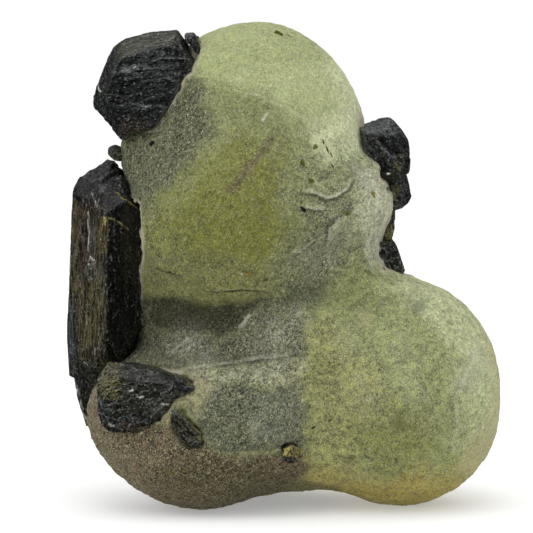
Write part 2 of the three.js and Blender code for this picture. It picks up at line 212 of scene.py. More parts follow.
ZONES = {
    "crown": ("crown", 1.0, 0.5, 1.3, [
        (-7.5, 36.6), (-6.7, 35.2), (-5.5, 34.8), (-3.5, 34.2), (-2.3, 34.1), (-0.7, 33.3), (0.7, 32.6),
        (3.0, 32.0), (6.5, 31.4), (9.3, 36.5), (1.4, 42.0), (-8.5, 41.6),
    ]),
    "crown glow": ("pale", 0.3, 0.4, 3.0, [
        (-3.6, 34.3), (0.0, 36.5), (3.6, 36.3), (6.0, 33.0), (3.0, 31.9), (0.5, 32.7), (-1.5, 33.9),
    ]),
    # Painted rim glow: the crown lighter towards its right edge
    "pale edge": ("halo", 0.95, 0.5, 2.4, [
        (3.4, 36.9), (7.5, 34.6), (9.0, 27.0), (5.6, 27.8), (3.2, 29.5), (2.0, 31.2), (4.6, 32.4),
        (4.3, 34.6),
    ]),
    "window": ("olive", 1.0, 0.6, 3.6, [
        (-5.4, 30.4), (-2.7, 31.2), (0.3, 29.9), (1.2, 26.7), (0.0, 24.0), (0.4, 21.5), (-1.7, 18.0),
        (-6.3, 17.1), (-12.2, 17.1), (-13.6, 20.4), (-13.4, 23.4), (-9.4, 25.4), (-7.8, 27.3), (-6.6, 29.6),
    ]),
    # The bulge's lower side a little darker: partly painted shade where it turns down
    "window foot": ("deep", 0.85, 0.8, 1.6, [
        (-13.0, 20.6), (-6.6, 21.3), (-2.7, 20.3), (0.1, 20.7), (0.5, 18.2), (-3.5, 17.4), (-9.0, 17.0),
        (-13.0, 17.9),
    ]),
    "bulge left": ("frost", 0.2, 0.9, 2.6, [
        (-13.6, 24.4), (-10.2, 25.8), (-8.2, 23.6), (-8.4, 20.4), (-10.0, 18.6), (-13.6, 18.6),
    ]),
    "left frost": ("frost", 0.91, 1.0, 2.0, [
        (-11.2, 31.8), (-7.9, 35.0), (-6.0, 34.6), (-5.5, 31.9), (-7.0, 29.2), (-8.7, 27.0), (-11.0, 24.9),
        (-13.2, 23.6), (-14.4, 26.4), (-14.2, 29.2),
    ]),
    "right frost": ("ridge", 0.95, 1.05, 3.0, [
        (1.5, 28.9), (2.9, 29.5), (6.6, 29.3), (9.5, 25.2), (8.7, 20.1), (5.4, 17.4), (2.5, 15.2),
        (1.3, 16.8), (-0.4, 18.5), (0.2, 21.0), (1.2, 23.4), (0.2, 25.7), (1.7, 27.2),
    ]),
    "dark frost": ("frost", 0.5, 1.1, 2.6, [
        (1.9, 25.7), (4.9, 25.2), (4.1, 21.9), (4.6, 19.0), (2.1, 17.6), (0.3, 18.3), (1.0, 22.5),
    ]),
    "flank": ("flank", 0.95, 0.8, 1.5, [
        (5.8, 28.2), (8.3, 27.2), (9.9, 25.2), (9.5, 22.3), (8.9, 20.1), (7.2, 20.3), (6.1, 23.1),
        (5.7, 25.5),
    ]),
    "neck": ("frost", 0.8, 0.8, 1.4, [(1.3, 18.3), (4.2, 18.6), (3.7, 16.0), (2.3, 15.3), (1.3, 16.8)]),
    # The dark band under the front bulge: dark clear prehnite, with painted shade where the bulge overhangs
    # it
    "shade": ("shade", 1.0, 0.42, 1.1, [
        (-12.8, 17.6), (-10.1, 17.2), (-8.2, 17.7), (-5.1, 17.3), (-1.7, 17.6), (-1.7, 16.9), (-2.9, 16.2),
        (-3.8, 15.2), (-4.7, 14.5), (-7.5, 14.5), (-9.6, 14.8), (-12.8, 14.0),
    ]),
    "shade end": ("frost", 0.45, 1.1, 1.4, [
        (-14.0, 18.0), (-11.4, 17.8), (-10.4, 16.0), (-11.0, 14.6), (-14.0, 14.0),
    ]),
    # Painted shade in the crease at the right end of the dark band
    "crease": ("frost", 0.75, 0.9, 0.8, [(-1.7, 17.6), (1.3, 18.7), (1.7, 17.6), (0.5, 16.7), (-1.7, 16.9)]),
    "grey": ("grey", 1.0, 1.05, 1.2, [
        (-13.9, 13.3), (-11.7, 14.1), (-9.6, 14.8), (-7.5, 14.5), (-4.7, 14.5), (-3.8, 15.2), (-2.8, 16.3),
        (-1.7, 16.9), (0.5, 16.7), (2.3, 15.3), (2.0, 13.5), (-0.1, 13.1), (-2.5, 12.8), (-5.1, 12.4),
        (-6.7, 12.0), (-8.4, 12.0), (-10.7, 12.2), (-13.9, 12.0),
    ]),
    "saddle": ("ridge", 0.06, 1.35, 1.0, [
        (-3.8, 15.1), (-2.7, 16.3), (0.1, 16.2), (2.0, 14.9), (1.7, 13.7), (-1.1, 13.5), (-3.5, 13.6),
    ]),
    # Painted shade in the groove between the saddle and the ledge
    "groove": ("shade", 0.35, 1.0, 0.7, [
        (-7.7, 12.5), (-6.7, 13.0), (-4.7, 13.9), (-1.7, 13.5), (-3.5, 12.9), (-6.3, 12.2),
    ]),
    # The ledge: pale frost, lighter still as painted light where it faces up
    "ledge": ("ledge", 0.9, 1.35, 0.8, [
        (-8.4, 11.8), (-6.3, 12.0), (-5.1, 12.4), (-2.5, 12.8), (-0.1, 13.0), (2.0, 13.3), (2.4, 12.4),
        (2.3, 11.2), (-1.9, 11.2), (-5.4, 11.0), (-7.0, 11.3),
    ]),
    "waist": ("waist", 1.0, 1.1, 1.2, [
        (-6.5, 11.0), (-2.3, 11.0), (2.1, 11.2), (2.0, 6.4), (1.0, 5.6), (-2.5, 5.7), (-6.5, 7.0),
    ]),
    "hollow": ("hollow", 0.9, 1.0, 1.2, [
        (-7.0, 9.9), (-5.4, 10.7), (-2.3, 10.5), (-2.2, 8.2), (-2.5, 6.2), (-4.6, 5.6), (-6.2, 6.3),
        (-6.8, 7.5), (-7.4, 8.9),
    ]),
    "cream": ("cream", 0.8, 0.7, 0.8, [
        (-8.7, 10.0), (-7.8, 10.8), (-6.6, 11.5), (-5.4, 10.7), (-6.2, 9.4), (-6.8, 8.2), (-7.9, 9.2),
        (-8.9, 7.6), (-10.0, 7.7),
    ]),
    "lobe": ("lobe", 1.0, 1.05, 0.9, [
        (-18.0, 12.4), (-14.4, 12.4), (-14.2, 8.1), (-9.8, 8.1), (-8.5, 7.2), (-6.5, 6.1), (-4.6, 5.5),
        (-1.9, 5.4), (-0.3, 5.4), (1.3, 5.0), (2.2, 3.7), (3.4, -1.7), (-18.3, -1.7), (-18.2, 11.1),
    ]),
    "lobe foot": ("umber", 0.9, 0.8, 2.4, [
        (-6.6, 5.2), (1.3, 4.5), (2.2, 2.2), (-1.1, 0.5), (-7.5, 0.8), (-10.7, 2.1), (-9.9, 4.1),
    ]),
    "ball": ("ball", 1.0, 0.75, 2.2, [
        (5.0, 20.4), (3.3, 17.9), (2.3, 16.4), (2.3, 14.9), (2.8, 12.8), (3.1, 9.7), (2.5, 6.4), (1.5, 4.6),
        (1.4, 3.3), (2.2, -2.1), (20.4, -2.1), (20.3, 20.1),
    ]),
    "ball left": ("leaf", 0.9, 0.85, 2.8, [
        (2.3, 16.4), (4.9, 15.1), (7.3, 12.9), (7.7, 9.7), (6.1, 6.3), (5.4, 3.6), (1.2, 3.7), (1.9, 6.4),
        (2.5, 9.7), (2.2, 12.8),
    ]),
    # Painted rim glow: the right ball lighter towards its upper right edge
    "ball right": ("pale", 0.75, 0.65, 3.2, [
        (9.5, 20.1), (15.2, 17.3), (19.1, 10.4), (18.7, 5.5), (15.1, 6.1), (15.0, 11.1), (12.5, 15.1),
        (9.4, 17.4),
    ]),
    "ball low": ("olive", 0.6, 0.8, 3.6, [
        (6.5, 9.7), (11.7, 9.3), (12.9, 7.2), (11.8, 4.6), (7.8, 3.9), (5.3, 6.3),
    ]),
    # Painted light: the right ball's foot lighter and warmer, standing in for light let through it and thrown
    # up from below
    "ball foot": ("ochre", 0.75, 0.65, 3.4, [
        (1.3, 4.2), (4.6, 3.2), (9.4, 2.9), (13.5, 3.6), (16.1, 4.0), (15.3, -1.3), (1.4, -1.7),
    ]),
    # Painted rim glow along the right ball's right edge
    "ball rim": ("sand", 0.7, 0.5, 1.5, [
        (15.9, 14.0), (16.9, 10.8), (15.9, 6.8), (13.9, 3.5), (17.8, 0.4), (20.4, 8.8), (18.7, 15.4),
    ]),
    "strip": ("strip", 0.9, 0.6, 0.6, [
        (0.0, 2.4), (1.4, 2.6), (3.8, 2.0), (5.1, 0.5), (1.4, 0.3), (-0.7, 0.6),
    ]),
    "yellow patch": ("sand", 0.5, 0.5, 0.6, [
        (6.0, 16.5), (6.6, 16.6), (7.4, 16.2), (7.4, 15.7), (6.6, 15.5), (6.0, 15.9),
    ]),
    "teal patch": ("waist", 0.55, 0.5, 1.0, [
        (9.5, 17.4), (10.6, 17.7), (11.6, 17.1), (11.4, 16.5), (10.0, 16.5),
    ]),
    "light patch": ("flank", 0.5, 0.5, 1.2, [
        (14.3, 13.5), (15.4, 13.7), (16.0, 12.1), (15.4, 10.4), (14.1, 10.9),
    ]),
    "olive spot": ("strip", 0.7, 0.5, 0.8, [(8.7, 8.1), (9.4, 8.4), (9.9, 7.7), (9.5, 7.1), (8.8, 7.3)]),
    "stain": ("stain", 0.7, 0.6, 0.5, [(4.2, 5.0), (5.0, 5.0), (5.5, 4.5), (4.9, 4.2)]),
    "inclusion": ("flank", 0.35, 0.8, 0.5, [(-2.6, 8.2), (-1.3, 8.1), (-1.5, 6.7), (-2.4, 6.8)]),
}

# Lines on the prehnite's front that stand up on the left of their direction: height in millimetres, how far
# that runs out, how light the lip is, how dark the foot is, and the line as X and Z. The pale lip is a
# painted highlight along a raised edge, and on the lines with no height it draws pale fibres and a scratch;
# the dark foot is painted shadow below the step. Then how far from a line it counts, how far it is at full
# strength, half the width of its rise, and the share of it that tapers

STEPS = {
    "crown arc": (0.12, 1.6, 0.2, 0.1, [
        (3.7, 31.9), (1.3, 32.4), (0.1, 33.1), (-0.9, 33.6), (-2.0, 34.1), (-3.5, 34.3),
    ]),
    "high scallop": (0.26, 1.2, 0.5, 0.7, [
        (0.8, 26.4), (1.8, 26.2), (2.7, 26.0), (3.4, 25.7), (4.5, 25.9), (5.2, 26.4), (5.5, 26.9),
        (5.6, 27.7),
    ]),
    "middle scallop": (0.22, 1.0, 0.4, 0.6, [
        (4.5, 24.4), (4.1, 23.9), (3.7, 23.4), (3.5, 22.8), (3.4, 22.0),
    ]),
    "low scallop": (0.20, 1.0, 0.4, 0.5, [(0.6, 21.4), (1.3, 21.5), (2.1, 21.9), (2.7, 22.5)]),
    "short step": (0.16, 0.8, 0.4, 0.6, [(1.5, 25.1), (2.5, 24.9), (3.5, 24.8)]),
    "right step": (0.16, 0.8, 0.4, 0.5, [(3.5, 21.6), (4.1, 22.8)]),
    "bulge foot": (0.30, 1.4, 0.06, 1.0, [
        (-6.3, 18.2), (-4.7, 18.5), (-3.1, 18.6), (-1.7, 18.4), (-0.7, 18.1),
    ]),
    "left foot": (0.14, 1.0, 0.0, 1.0, [(-10.6, 20.0), (-9.5, 19.8), (-8.0, 19.4)]),
    "shade edge": (0.16, 0.9, 0.6, 0.0, [(-2.7, 16.6), (-3.2, 15.9), (-3.8, 15.2)]),
    "ledge lip": (-0.12, 1.6, 0.35, 0.4, [
        (-8.6, 11.8), (-6.7, 12.3), (-5.1, 12.5), (-1.9, 13.0), (2.2, 13.4),
    ]),
    "waist foot": (0.12, 1.0, 0.0, 0.35, [(1.6, 5.4), (-0.3, 5.5), (-2.0, 5.6), (-4.6, 5.6), (-6.4, 6.2)]),
    "outer ball ridge": (0.12, 1.2, 0.25, 0.1, [
        (15.1, 14.9), (15.4, 13.3), (15.0, 12.2), (14.3, 11.3), (13.7, 9.8), (13.7, 7.9), (13.6, 6.7),
        (13.3, 4.5),
    ]),
    "upper filament": (0.0, 0.5, 0.4, 0.0, [(-9.2, 12.9), (-8.2, 13.7), (-7.2, 14.2)]),
    "lower filament": (0.0, 0.5, 0.3, 0.0, [(-8.7, 13.0), (-7.7, 13.4), (-6.7, 14.4)]),
    "side filament": (0.0, 0.5, 0.3, 0.0, [(-8.0, 12.8), (-7.3, 13.8), (-7.1, 14.6)]),
    "long fan line": (0.07, 0.6, 0.15, 0.1, [(12.5, 8.9), (10.9, 10.9), (8.9, 13.7)]),
    "short fan line": (0.06, 0.6, 0.12, 0.1, [(9.3, 6.5), (7.2, 9.6), (5.3, 12.8)]),
    "scratch": (0.0, 0.5, 0.9, 0.0, [(-1.7, 31.8), (-1.1, 32.6)]),
}
STEP_REACH = 0.6
STEP_NEAR = 0.35
STEP_RISE = 0.14
STEP_TAPER = 0.2

# Spots on the front, as X, Z and radius, with fibres that are combed one way, with fibres that are combed the
# other way, and with more sparkles, which are painted glints

SILKS = [
    (-7.8, 13.9, 1.5), (-6.6, 13.4, 1.2), (-0.6, 14.9, 2.0), (0.9, 16.2, 1.3), (3.4, 20.6, 1.5),
    (4.6, 23.0, 1.6),
]
FANS = [
    (10.3, 11.0, 2.6), (6.6, 9.6, 2.2), (12.6, 8.2, 1.8), (9.0, 14.0, 1.8), (14.0, 12.4, 1.4),
    (5.0, 14.4, 1.4),
]
SPARKS = [
    (-4.5, 39.2, 0.5), (2.1, 36.6, 0.5), (4.2, 36.0, 0.5), (3.7, 31.8, 0.9), (-8.1, 22.9, 0.7),
    (-4.9, 26.5, 0.3), (-7.8, 13.8, 1.1), (0.7, 1.8, 0.3), (8.9, 13.7, 0.6), (-0.6, 14.8, 1.6),
    (-1.9, 7.4, 0.9), (-3.4, 14.9, 0.7), (3.4, 20.6, 1.5), (9.6, 18.2, 0.9), (1.0, 12.6, 0.9),
    (2.0, 9.6, 0.8),
]

# Bulges of the relief: centre, radius and height

BULGES = {
    "left shoulder": ((-12.2, -0.5, 29.9), 1.6, 0.6),
    "right of the ball": ((17.0, -0.8, 9.4), 6.0, 0.28),
    "beside the right block": ((7.4, -2.6, 28.0), 1.2, 0.7),
}

# The dark needle's line as X and Z, and how wide each grain of it is, how long, and its turn in degrees.
# Then grooves: depth, width and line. Then streaks: colour, share, width and line

NEEDLE = [(3.2, 30.3), (3.5, 29.7), (3.8, 28.9), (4.0, 28.2)]
NEEDLE_GRAIN = (0.12, 0.62, -22)
GROOVES = {
    "needle bed": (0.05, 0.18, NEEDLE),
}
STREAKS = {
    "brown streak": ("stain", 0.9, 0.55, [(-4.3, 26.5), (-2.8, 28.3), (-0.9, 30.6)]),
    "olive streak": ("strip", 0.5, 0.25, [(-13.4, 7.2), (-12.6, 6.5)]),
}

# Small relief in millimetres. Facets: depth as a share of the hackle, size and seed. Ripples of a zone:
# depth, size, seed, and how they slant, as the shares of X and of Z in their X and of X in their Z

FACETS = ((0.8, 1.1, 41), (0.5, 0.5, 51))
GRIT = (0.02, 0.3, 61)
RIPPLES = {
    "window": (0.03, (2.4, 2.4, 0.34), 71, (1.0, 0.0, 0.0)),
    "right frost": (0.09, (1.6, 1.6, 0.7), 151, (0.9, 0.5, -0.5)),
    "ball low": (0.035, (0.55, 0.9, 3.2), 111, (1.0, 0.8, -0.75)),
}
WINDOW_RIPPLE_TOP = (24.0, 21.0)
HOLLOW_DEPTH = 0.5
HOLLOW_WAVE = 0.4

# The frosted grain's colour. Specks: size as a share of the grain size, half the width of the step from dark
# to light, darkest, lightest, and how few the light ones are. Threads: size, width and share

SPECKS = {
    "middle": (2.2, 0.2, -0.26, 0.34, 0.5),
    "fine": (0.8, 0.08, -0.3, 0.95, 0.55),
    "coarse": (5.0, 0.16, -0.34, 0.34, 0.5),
    "cloudy": (12.0, 0.16, -0.2, 0.2, 0.5),
}
SPECKS_MEAN = 0.26
DARKEST = 0.2
SHORT_THREADS = (1.1, 0.045, 1.0)
LONG_THREADS = (3.2, 0.022, 0.42)
THREAD_STRETCH = 1.8
THREAD_TURN = 30

# Combed fibres at the spots: turn in degrees, and size, width and share

COMBS = {"silk": (38, (1.1, 0.05, 0.9)), "fan": (-40, (1.1, 0.05, 0.5))}
COMB_STRETCH = 4.0

# A step's side is 0.5 on its line. The lip's pale paint and the foot's painted shadow each rise from none to
# all and fall again over these

LIP = ((0.48, 0.56), (0.82, 0.64))
FOOT_SHADOW = ((0.52, 0.46), (0.22, 0.38))
LINE_BREAKS = (-0.25, 0.15, 0.35, 1.0)

# The crust's edge: how rough it is, where it is whole as a share of its width, and how strongly it covers.
# Sparkles are painted glints, small cells lifted to the rim colour: how much likelier they are at a spot and
# in the grain, and the chance at which one starts

CRUST_ROUGH = 0.5
CRUST_WHOLE = 0.4
CRUST_SHARE = 0.6
SPARK_CHANCE = 0.06
GRAIN_CHANCE = 0.010
SPARK_START = (0.995, 1.003)
SPARK_LIGHT = (0.7, 1.5, 0.0, 0.8)
SPARK_SIZE = 1.3
PREHNITE_ROUGHNESS = (0.36, 0.6)
FACET_TILT = (0.5, 1.4)
PREHNITE_FINISH = {
    "IOR": 1.6, "Sheen Weight": 0.1, "Sheen Roughness": 0.4, "Subsurface Weight": 0.7,
    "Subsurface Radius": (1.0, 1.0, 0.6),
}

# Grains on the prehnite: colour, place as X and Z, size across and along, and turn in degrees

GRAINS = {
    "olive": [
        (5.1, 24.5, 0.34, 0.44, 10), (-1.5, 19.3, 0.30, 0.46, 70), (0.4, 17.6, 0.26, 0.30, 20),
        (2.5, 29.7, 0.36, 0.50, 30), (1.5, 28.6, 0.34, 0.62, 10), (2.2, 27.0, 0.40, 0.50, -40),
        (-0.45, 38.75, 0.36, 0.72, -62), (0.35, 38.45, 0.10, 0.50, -75),
    ],
    "ochre": [
        (-6.6, 37.9, 0.20, 0.20, 0), (-6.8, 37.2, 0.22, 0.26, 20), (-9.5, 32.7, 0.26, 0.30, 0),
        (-2.7, 19.8, 0.42, 0.46, 0), (7.1, 25.8, 0.36, 0.50, 10), (3.4, 19.7, 0.24, 0.26, 0),
    ],
    "black": [
        (-10.5, 29.9, 0.34, 0.44, 40), (1.6, 24.8, 0.30, 0.55, -40), (-11.7, 16.0, 0.16, 0.20, 0),
        (2.4, 7.3, 0.18, 0.52, 62), (3.7, 7.9, 0.15, 0.44, 55),
    ],
}

# How far to the back their ground may face. Lumps: depth, size and seed. Their height as a share of their
# width, and their finish

GRAIN_GROUND = 0.3
GRAIN_LUMPS = (0.35, 0.45, 301)
GRAIN_HEIGHT = 0.7
GRAIN_ROUGHNESS = 0.35
NEEDLE_ROUGHNESS = 0.3
MOTTLE_SIZE = 0.00012
MOTTLE = (0.3, 0.7, 0.5, 1.4)


# Settings


def tone(name, description, value):
    """A colour setting."""
    return bpy.props.FloatVectorProperty(name=name, description=description, subtype="COLOR", default=value)


def length(name, description, value):
    """A size setting."""
    return bpy.props.FloatProperty(name=name, description=description, default=value, unit="LENGTH")


class PrehniteSettings(bpy.types.PropertyGroup):
    """Sizes and colours of the prehnite mass"""

    sphere_detail: bpy.props.IntProperty(
        name="Sphere detail", description="Subdivisions of the ball it starts from", default=6, min=3, max=6)
    sphere_cuts: bpy.props.IntProperty(
        name="Edge cuts", description="Further cuts of each edge of that ball", default=2, min=0, max=2)
    front_bias: bpy.props.FloatProperty(
        name="Front bias", description="How much finer the front is than the back", default=0.35)
    swell: length("Swell", "Depth of the broad undulation", 0.00022)
    hackle: length("Hackle", "Depth of the small facets where it is frosted", 0.00016)
    grain_size: length("Grain size", "Width of the finest crystals", 0.00012)
    rim_width: length("Rim width", "Width of the pale rim beside a crystal", 0.00036)
    scatter: length("Scatter", "How far light spreads inside", 0.002)
    green: tone("Green", "Wherever nothing else is painted", (0.255, 0.280, 0.100))
    crown: tone("Crown", "Bright top", (0.395, 0.437, 0.185))
    # Pale and Halo are painted rim glow: the balls and the crown lighter towards their edges. Pale also
    # lightens the crown's upper middle
    pale: tone("Pale", "Light edges of the balls", (0.63, 0.67, 0.39))
    halo: tone("Halo", "Right edge of the crown", (0.70, 0.74, 0.45))
    olive: tone("Olive", "Clear parts", (0.184, 0.196, 0.012))
    # Deep olive: a little darker than olive on the bulge's lower side, partly painted shade where it turns
    # down
    deep: tone("Deep olive", "Lower side of the bulge", (0.172, 0.178, 0.034))
    frost: tone("Frost", "Dark frosted parts", (0.014, 0.024, 0.002))
    ridge: tone("Ridges", "Light frosted parts", (0.238, 0.268, 0.118))
    flank: tone("Flank", "Frosted right flank", (0.51, 0.52, 0.37))
    # Shade: the dark clear colour, used as painted shade in the band under the front bulge and in the groove,
    # and as painted shadow at the steps' feet; on the back it darkens random patches
    shade: tone("Shade", "Dark clear band", (0.014, 0.015, 0.001))
    grey: tone("Grey", "Saddle", (0.034, 0.038, 0.017))
    # Ledge: pale frost, lighter still as painted light where the ledge faces up
    ledge: tone("Ledge", "Light ledge under the saddle", (0.265, 0.27, 0.18))
    waist: tone("Waist", "Speckled waist", (0.096, 0.110, 0.080))
    hollow: tone("Hollow", "Grey-teal hollow", (0.084, 0.098, 0.056))
    cream: tone("Cream", "Beside the stub", (0.44, 0.41, 0.22))
    lobe: tone("Lobe", "Brown lower left lobe", (0.096, 0.050, 0.021))
    umber: tone("Umber", "Foot of that lobe", (0.050, 0.026, 0.001))
    ball: tone("Ball", "Right ball", (0.312, 0.348, 0.122))
    leaf: tone("Leaf", "Left part of the right ball", (0.375, 0.375, 0.125))
    # Ochre: painted light at the right ball's foot, standing in for light let through it and thrown up from
    # below
    ochre: tone("Ochre", "Foot of the right ball", (0.50, 0.37, 0.065))
    # Sand: painted rim glow along the right ball's right edge, and also the colour of a small yellow patch
    sand: tone("Sand", "Beige edge of the right ball", (0.50, 0.465, 0.245))
    strip: tone("Strip", "Small olive patches", (0.13, 0.12, 0.025))
    stain: tone("Stain", "Brown streaks", (0.115, 0.080, 0.026))
    # Rim: pale paint for the steps' lips, which on raised edges are painted highlights, for the combed
    # fibres, and for the sparkles, which are painted glints
    rim: tone("Rim", "Pale lips and sparkles", (0.62, 0.62, 0.50))
    veil: tone("Veil", "Pale fibres all over", (0.52, 0.52, 0.31))
    crust: tone("Crust", "Beige rim beside a crystal", (0.56, 0.50, 0.36))


class EpidoteSettings(bpy.types.PropertyGroup):
    """Sizes and colours of the epidote crystals"""

    voxel: length("Voxel", "Size of the squares each crystal is remeshed to", 0.0001)
    ridge_depth: length("Ridge depth", "Depth of the ridges along a crystal", 0.00012)
    ridge_width: length("Ridge width", "Width of those ridges", 0.00042)
    dark: tone("Dark", "Body colour", (0.005, 0.006, 0.006))
    black: tone("Black", "Clear dark faces", (0.0012, 0.0010, 0.0010))
    # Grey: painted sheen and glints where faces and ridges catch the light, and random grey patches
    grey: tone("Grey", "Grey-blue faces", (0.050, 0.056, 0.059))
    moss: tone("Moss", "Olive-grey faces", (0.030, 0.032, 0.020))
    olive: tone("Olive", "Translucent edges", (0.072, 0.062, 0.017))
    brown: tone("Brown", "Red-brown recesses", (0.030, 0.019, 0.010))
    yellow: tone("Yellow", "Thin bright lines", (0.30, 0.25, 0.07))
    # Pale: painted glints, and painted highlights along the edges
    pale: tone("Pale", "Glints and dusty edges", (0.42, 0.44, 0.38))
    olive_grain: tone("Olive grains", "Grains in the upper bulge", (0.10, 0.11, 0.012))
    ochre_grain: tone("Ochre grains", "Grains beside the block", (0.20, 0.165, 0.02))
    black_grain: tone("Black grains", "Dark grains and the needle", (0.012, 0.010, 0.006))


class StageSettings(bpy.types.PropertyGroup):
    """Camera and light"""

    distance: bpy.props.FloatProperty(
        name="Distance", description="From the camera to the specimen", default=0.3, unit="LENGTH")
    rise: bpy.props.FloatProperty(
        name="Rise", description="How far the camera looks down", default=math.radians(5.0), subtype="ANGLE")
    lens: bpy.props.FloatProperty(name="Lens", description="Focal length in millimetres", default=247.1)
    target: bpy.props.FloatVectorProperty(
        name="Target", description="Where the camera looks", subtype="TRANSLATION",
        default=(-0.00135, 0.0, 0.01957))
    top_light: bpy.props.FloatProperty(name="Top light", description="Radiance from above", default=1.6)
    left_light: bpy.props.FloatProperty(name="Left light", description="Radiance at the left", default=1.2)
    floor: bpy.props.FloatVectorProperty(
        name="Floor", description="Colour of the floor", subtype="COLOR", default=(0.8, 0.8, 0.8))


# Repeatable noise


def lattice_value(cells, seed):
    """An even number from 0 to 1 for each whole-numbered lattice point."""
    mixed = cells[..., 0] * 73856093 + cells[..., 1] * 19349663 + cells[..., 2] * 83492791 + seed * 15485863
    for shift, factor in ((15, 2246822519), (13, 3266489917)):
        mixed = (mixed ^ (mixed >> shift)) * factor
    return ((mixed ^ (mixed >> 16)) & 0xFFFFFF) / 0xFFFFFF


def smooth_noise(points, size, seed):
    """Noise from -1 to 1 with lumps of that size, which is one number or one for each axis."""
    scaled = points / np.asarray(size, float)
    base = np.floor(scaled).astype(np.int64)
    part = scaled - base
    part = part ** 3 * (part * (part * 6 - 15) + 10)
    total = np.zeros(len(points))
    for corner in itertools.product((0, 1), repeat=3):
        weight = np.prod(np.where(np.array(corner) == 1, part, 1 - part), axis=1)
        total += weight * lattice_value(base + np.array(corner), seed)
    return total * 2 - 1


def fractal(points, size, seed, octaves):
    """Noise from -1 to 1 in which each finer octave has half the depth of the one before."""
    total = np.zeros(len(points))
    depth = 1.0
    whole = 0.0
    for octave in range(octaves):
        total += depth * smooth_noise(points, np.asarray(size, float) / 2 ** octave, seed + octave)
        whole += depth
        depth /= 2
    return total / whole


def facets(points, size, seed):
    """A relief of flat faces: each point takes the tilt of the scattered cell it lies in."""
    scaled = points / np.asarray(size, float)
    base = np.floor(scaled).astype(np.int64)
    nearest = np.full(len(points), np.inf)
    offset = np.zeros_like(scaled)
    owner = np.zeros_like(base)
    for step in itertools.product((-1, 0, 1), repeat=3):
        cell = base + np.array(step)
        jitter = np.stack([lattice_value(cell, seed + axis) for axis in range(3)], axis=1)
        away = scaled - cell - jitter
        distance = (away ** 2).sum(axis=1)
        nearer = distance < nearest
        nearest[nearer] = distance[nearer]
        offset[nearer] = away[nearer]
        owner[nearer] = cell[nearer]
    tilt = np.stack([lattice_value(owner, seed + 3 + axis) - 0.5 for axis in range(3)], axis=1)
    return (offset * tilt).sum(axis=1) * 2


# Shapes drawn on the front


def fade(value, low, high):
    """0 at low, 1 at high and smooth between them."""
    share = np.clip((value - low) / (high - low), 0, 1)
    return share * share * (3 - 2 * share)


def line_distance(spots, line):
    """Distance from each X and Z to a line, negative on its right, and how far along the line that is."""
    nearest = np.full(len(spots), np.inf)
    sign = np.ones(len(spots))
    along_line = np.zeros(len(spots))
    line = np.asarray(line, float)
    lengths = np.linalg.norm(np.diff(line, axis=0), axis=1)
    for index, (start, end) in enumerate(itertools.pairwise(line)):
        along = end - start
        away_x, away_z = spots[:, 0] - start[0], spots[:, 1] - start[1]
        share = np.clip((away_x * along[0] + away_z * along[1]) / (along @ along), 0, 1)
        distance = np.hypot(away_x - share * along[0], away_z - share * along[1])
        nearer = distance < nearest
        nearest = np.where(nearer, distance, nearest)
        sign = np.where(nearer, np.where(along[0] * away_z > along[1] * away_x, 1, -1), sign)
        passed = (lengths[:index].sum() + share * lengths[index]) / lengths.sum()
        along_line = np.where(nearer, passed, along_line)
    return nearest * sign, along_line


def outline_distance(spots, outline):
    """Distance of each X and Z from a closed outline, negative inside it."""
    closed = [*outline, outline[0]]
    distance = np.abs(line_distance(spots, closed)[0])
    inside = np.zeros(len(spots), bool)
    for (x0, z0), (x1, z1) in itertools.pairwise(closed):
        if z0 == z1:
            continue
        crosses = (z0 > spots[:, 1]) != (z1 > spots[:, 1])
        edge = x0 + (spots[:, 1] - z0) * (x1 - x0) / (z1 - z0)
        inside ^= crosses & (spots[:, 0] < edge)
    return np.where(inside, -distance, distance)


def paint(tint, colour, share):
    """Covers each vertex's colour, or number, with another by its share."""
    share = np.clip(share, 0, 1)
    if tint.ndim == 2:
        share = share[:, None]
    tint += (np.asarray(colour, float) - tint) * share


# The prehnite's surface


def soft_union(a, b, softness):
    """The nearer of two distances, rounded where they are alike."""
    overlap = np.maximum(softness - np.abs(a - b), 0) / softness
    return np.minimum(a, b) - overlap ** 2 * softness / 4


def mass_distance(points):
    """Distance of points from the surface of the grown-together balls."""
    x, y, z = (np.ascontiguousarray(points[:, axis]) for axis in range(3))
    whole = None
    for centre, radii, blend in BALLS.values():
        u, v, w = (x - centre[0]) / radii[0], (y - centre[1]) / radii[1], (z - centre[2]) / radii[2]
        ratio = np.sqrt(u * u + v * v + w * w)
        steep = np.sqrt((u / radii[0]) ** 2 + (v / radii[1]) ** 2 + (w / radii[2]) ** 2)
        distance = ratio * (ratio - 1) / np.maximum(steep, 1e-9)
        whole = distance if whole is None else soft_union(whole, distance, blend)
    return whole


def mass_normal(points, distance):
    """The way out of the mass at each point, whose distance from the surface is known."""
    step = 0.01
    slope = np.empty_like(points)
    for axis in range(3):
        slope[:, axis] = mass_distance(points + np.eye(3)[axis] * step) - distance
    return slope / np.maximum(np.linalg.norm(slope, axis=1, keepdims=True), 1e-9)


def neighbour_mean(points, edges, degree):
    """The middle of each vertex's neighbours."""
    total = np.empty_like(points)
    for axis in range(3):
        values = points[:, axis]
        total[:, axis] = np.bincount(edges[:, 0], values[edges[:, 1]], len(points))
        total[:, axis] += np.bincount(edges[:, 1], values[edges[:, 0]], len(points))
    return total / degree[:, None]


def eased(points, edges, degree, share=0.5):
    """Each point moved that share of the way to the middle of its neighbours."""
    return points + share * (neighbour_mean(points, edges, degree) - points)


def mesh_arrays(mesh):
    """A mesh's points in millimetres, its edges, and how many edges meet at each point."""
    points = np.empty(len(mesh.vertices) * 3)
    mesh.vertices.foreach_get("co", points)
    edges = np.empty(len(mesh.edges) * 2, np.int64)
    mesh.edges.foreach_get("vertices", edges)
    edges = edges.reshape(-1, 2)
    degree = np.bincount(edges.ravel(), minlength=len(mesh.vertices))
    return points.reshape(-1, 3) / MM, edges, degree


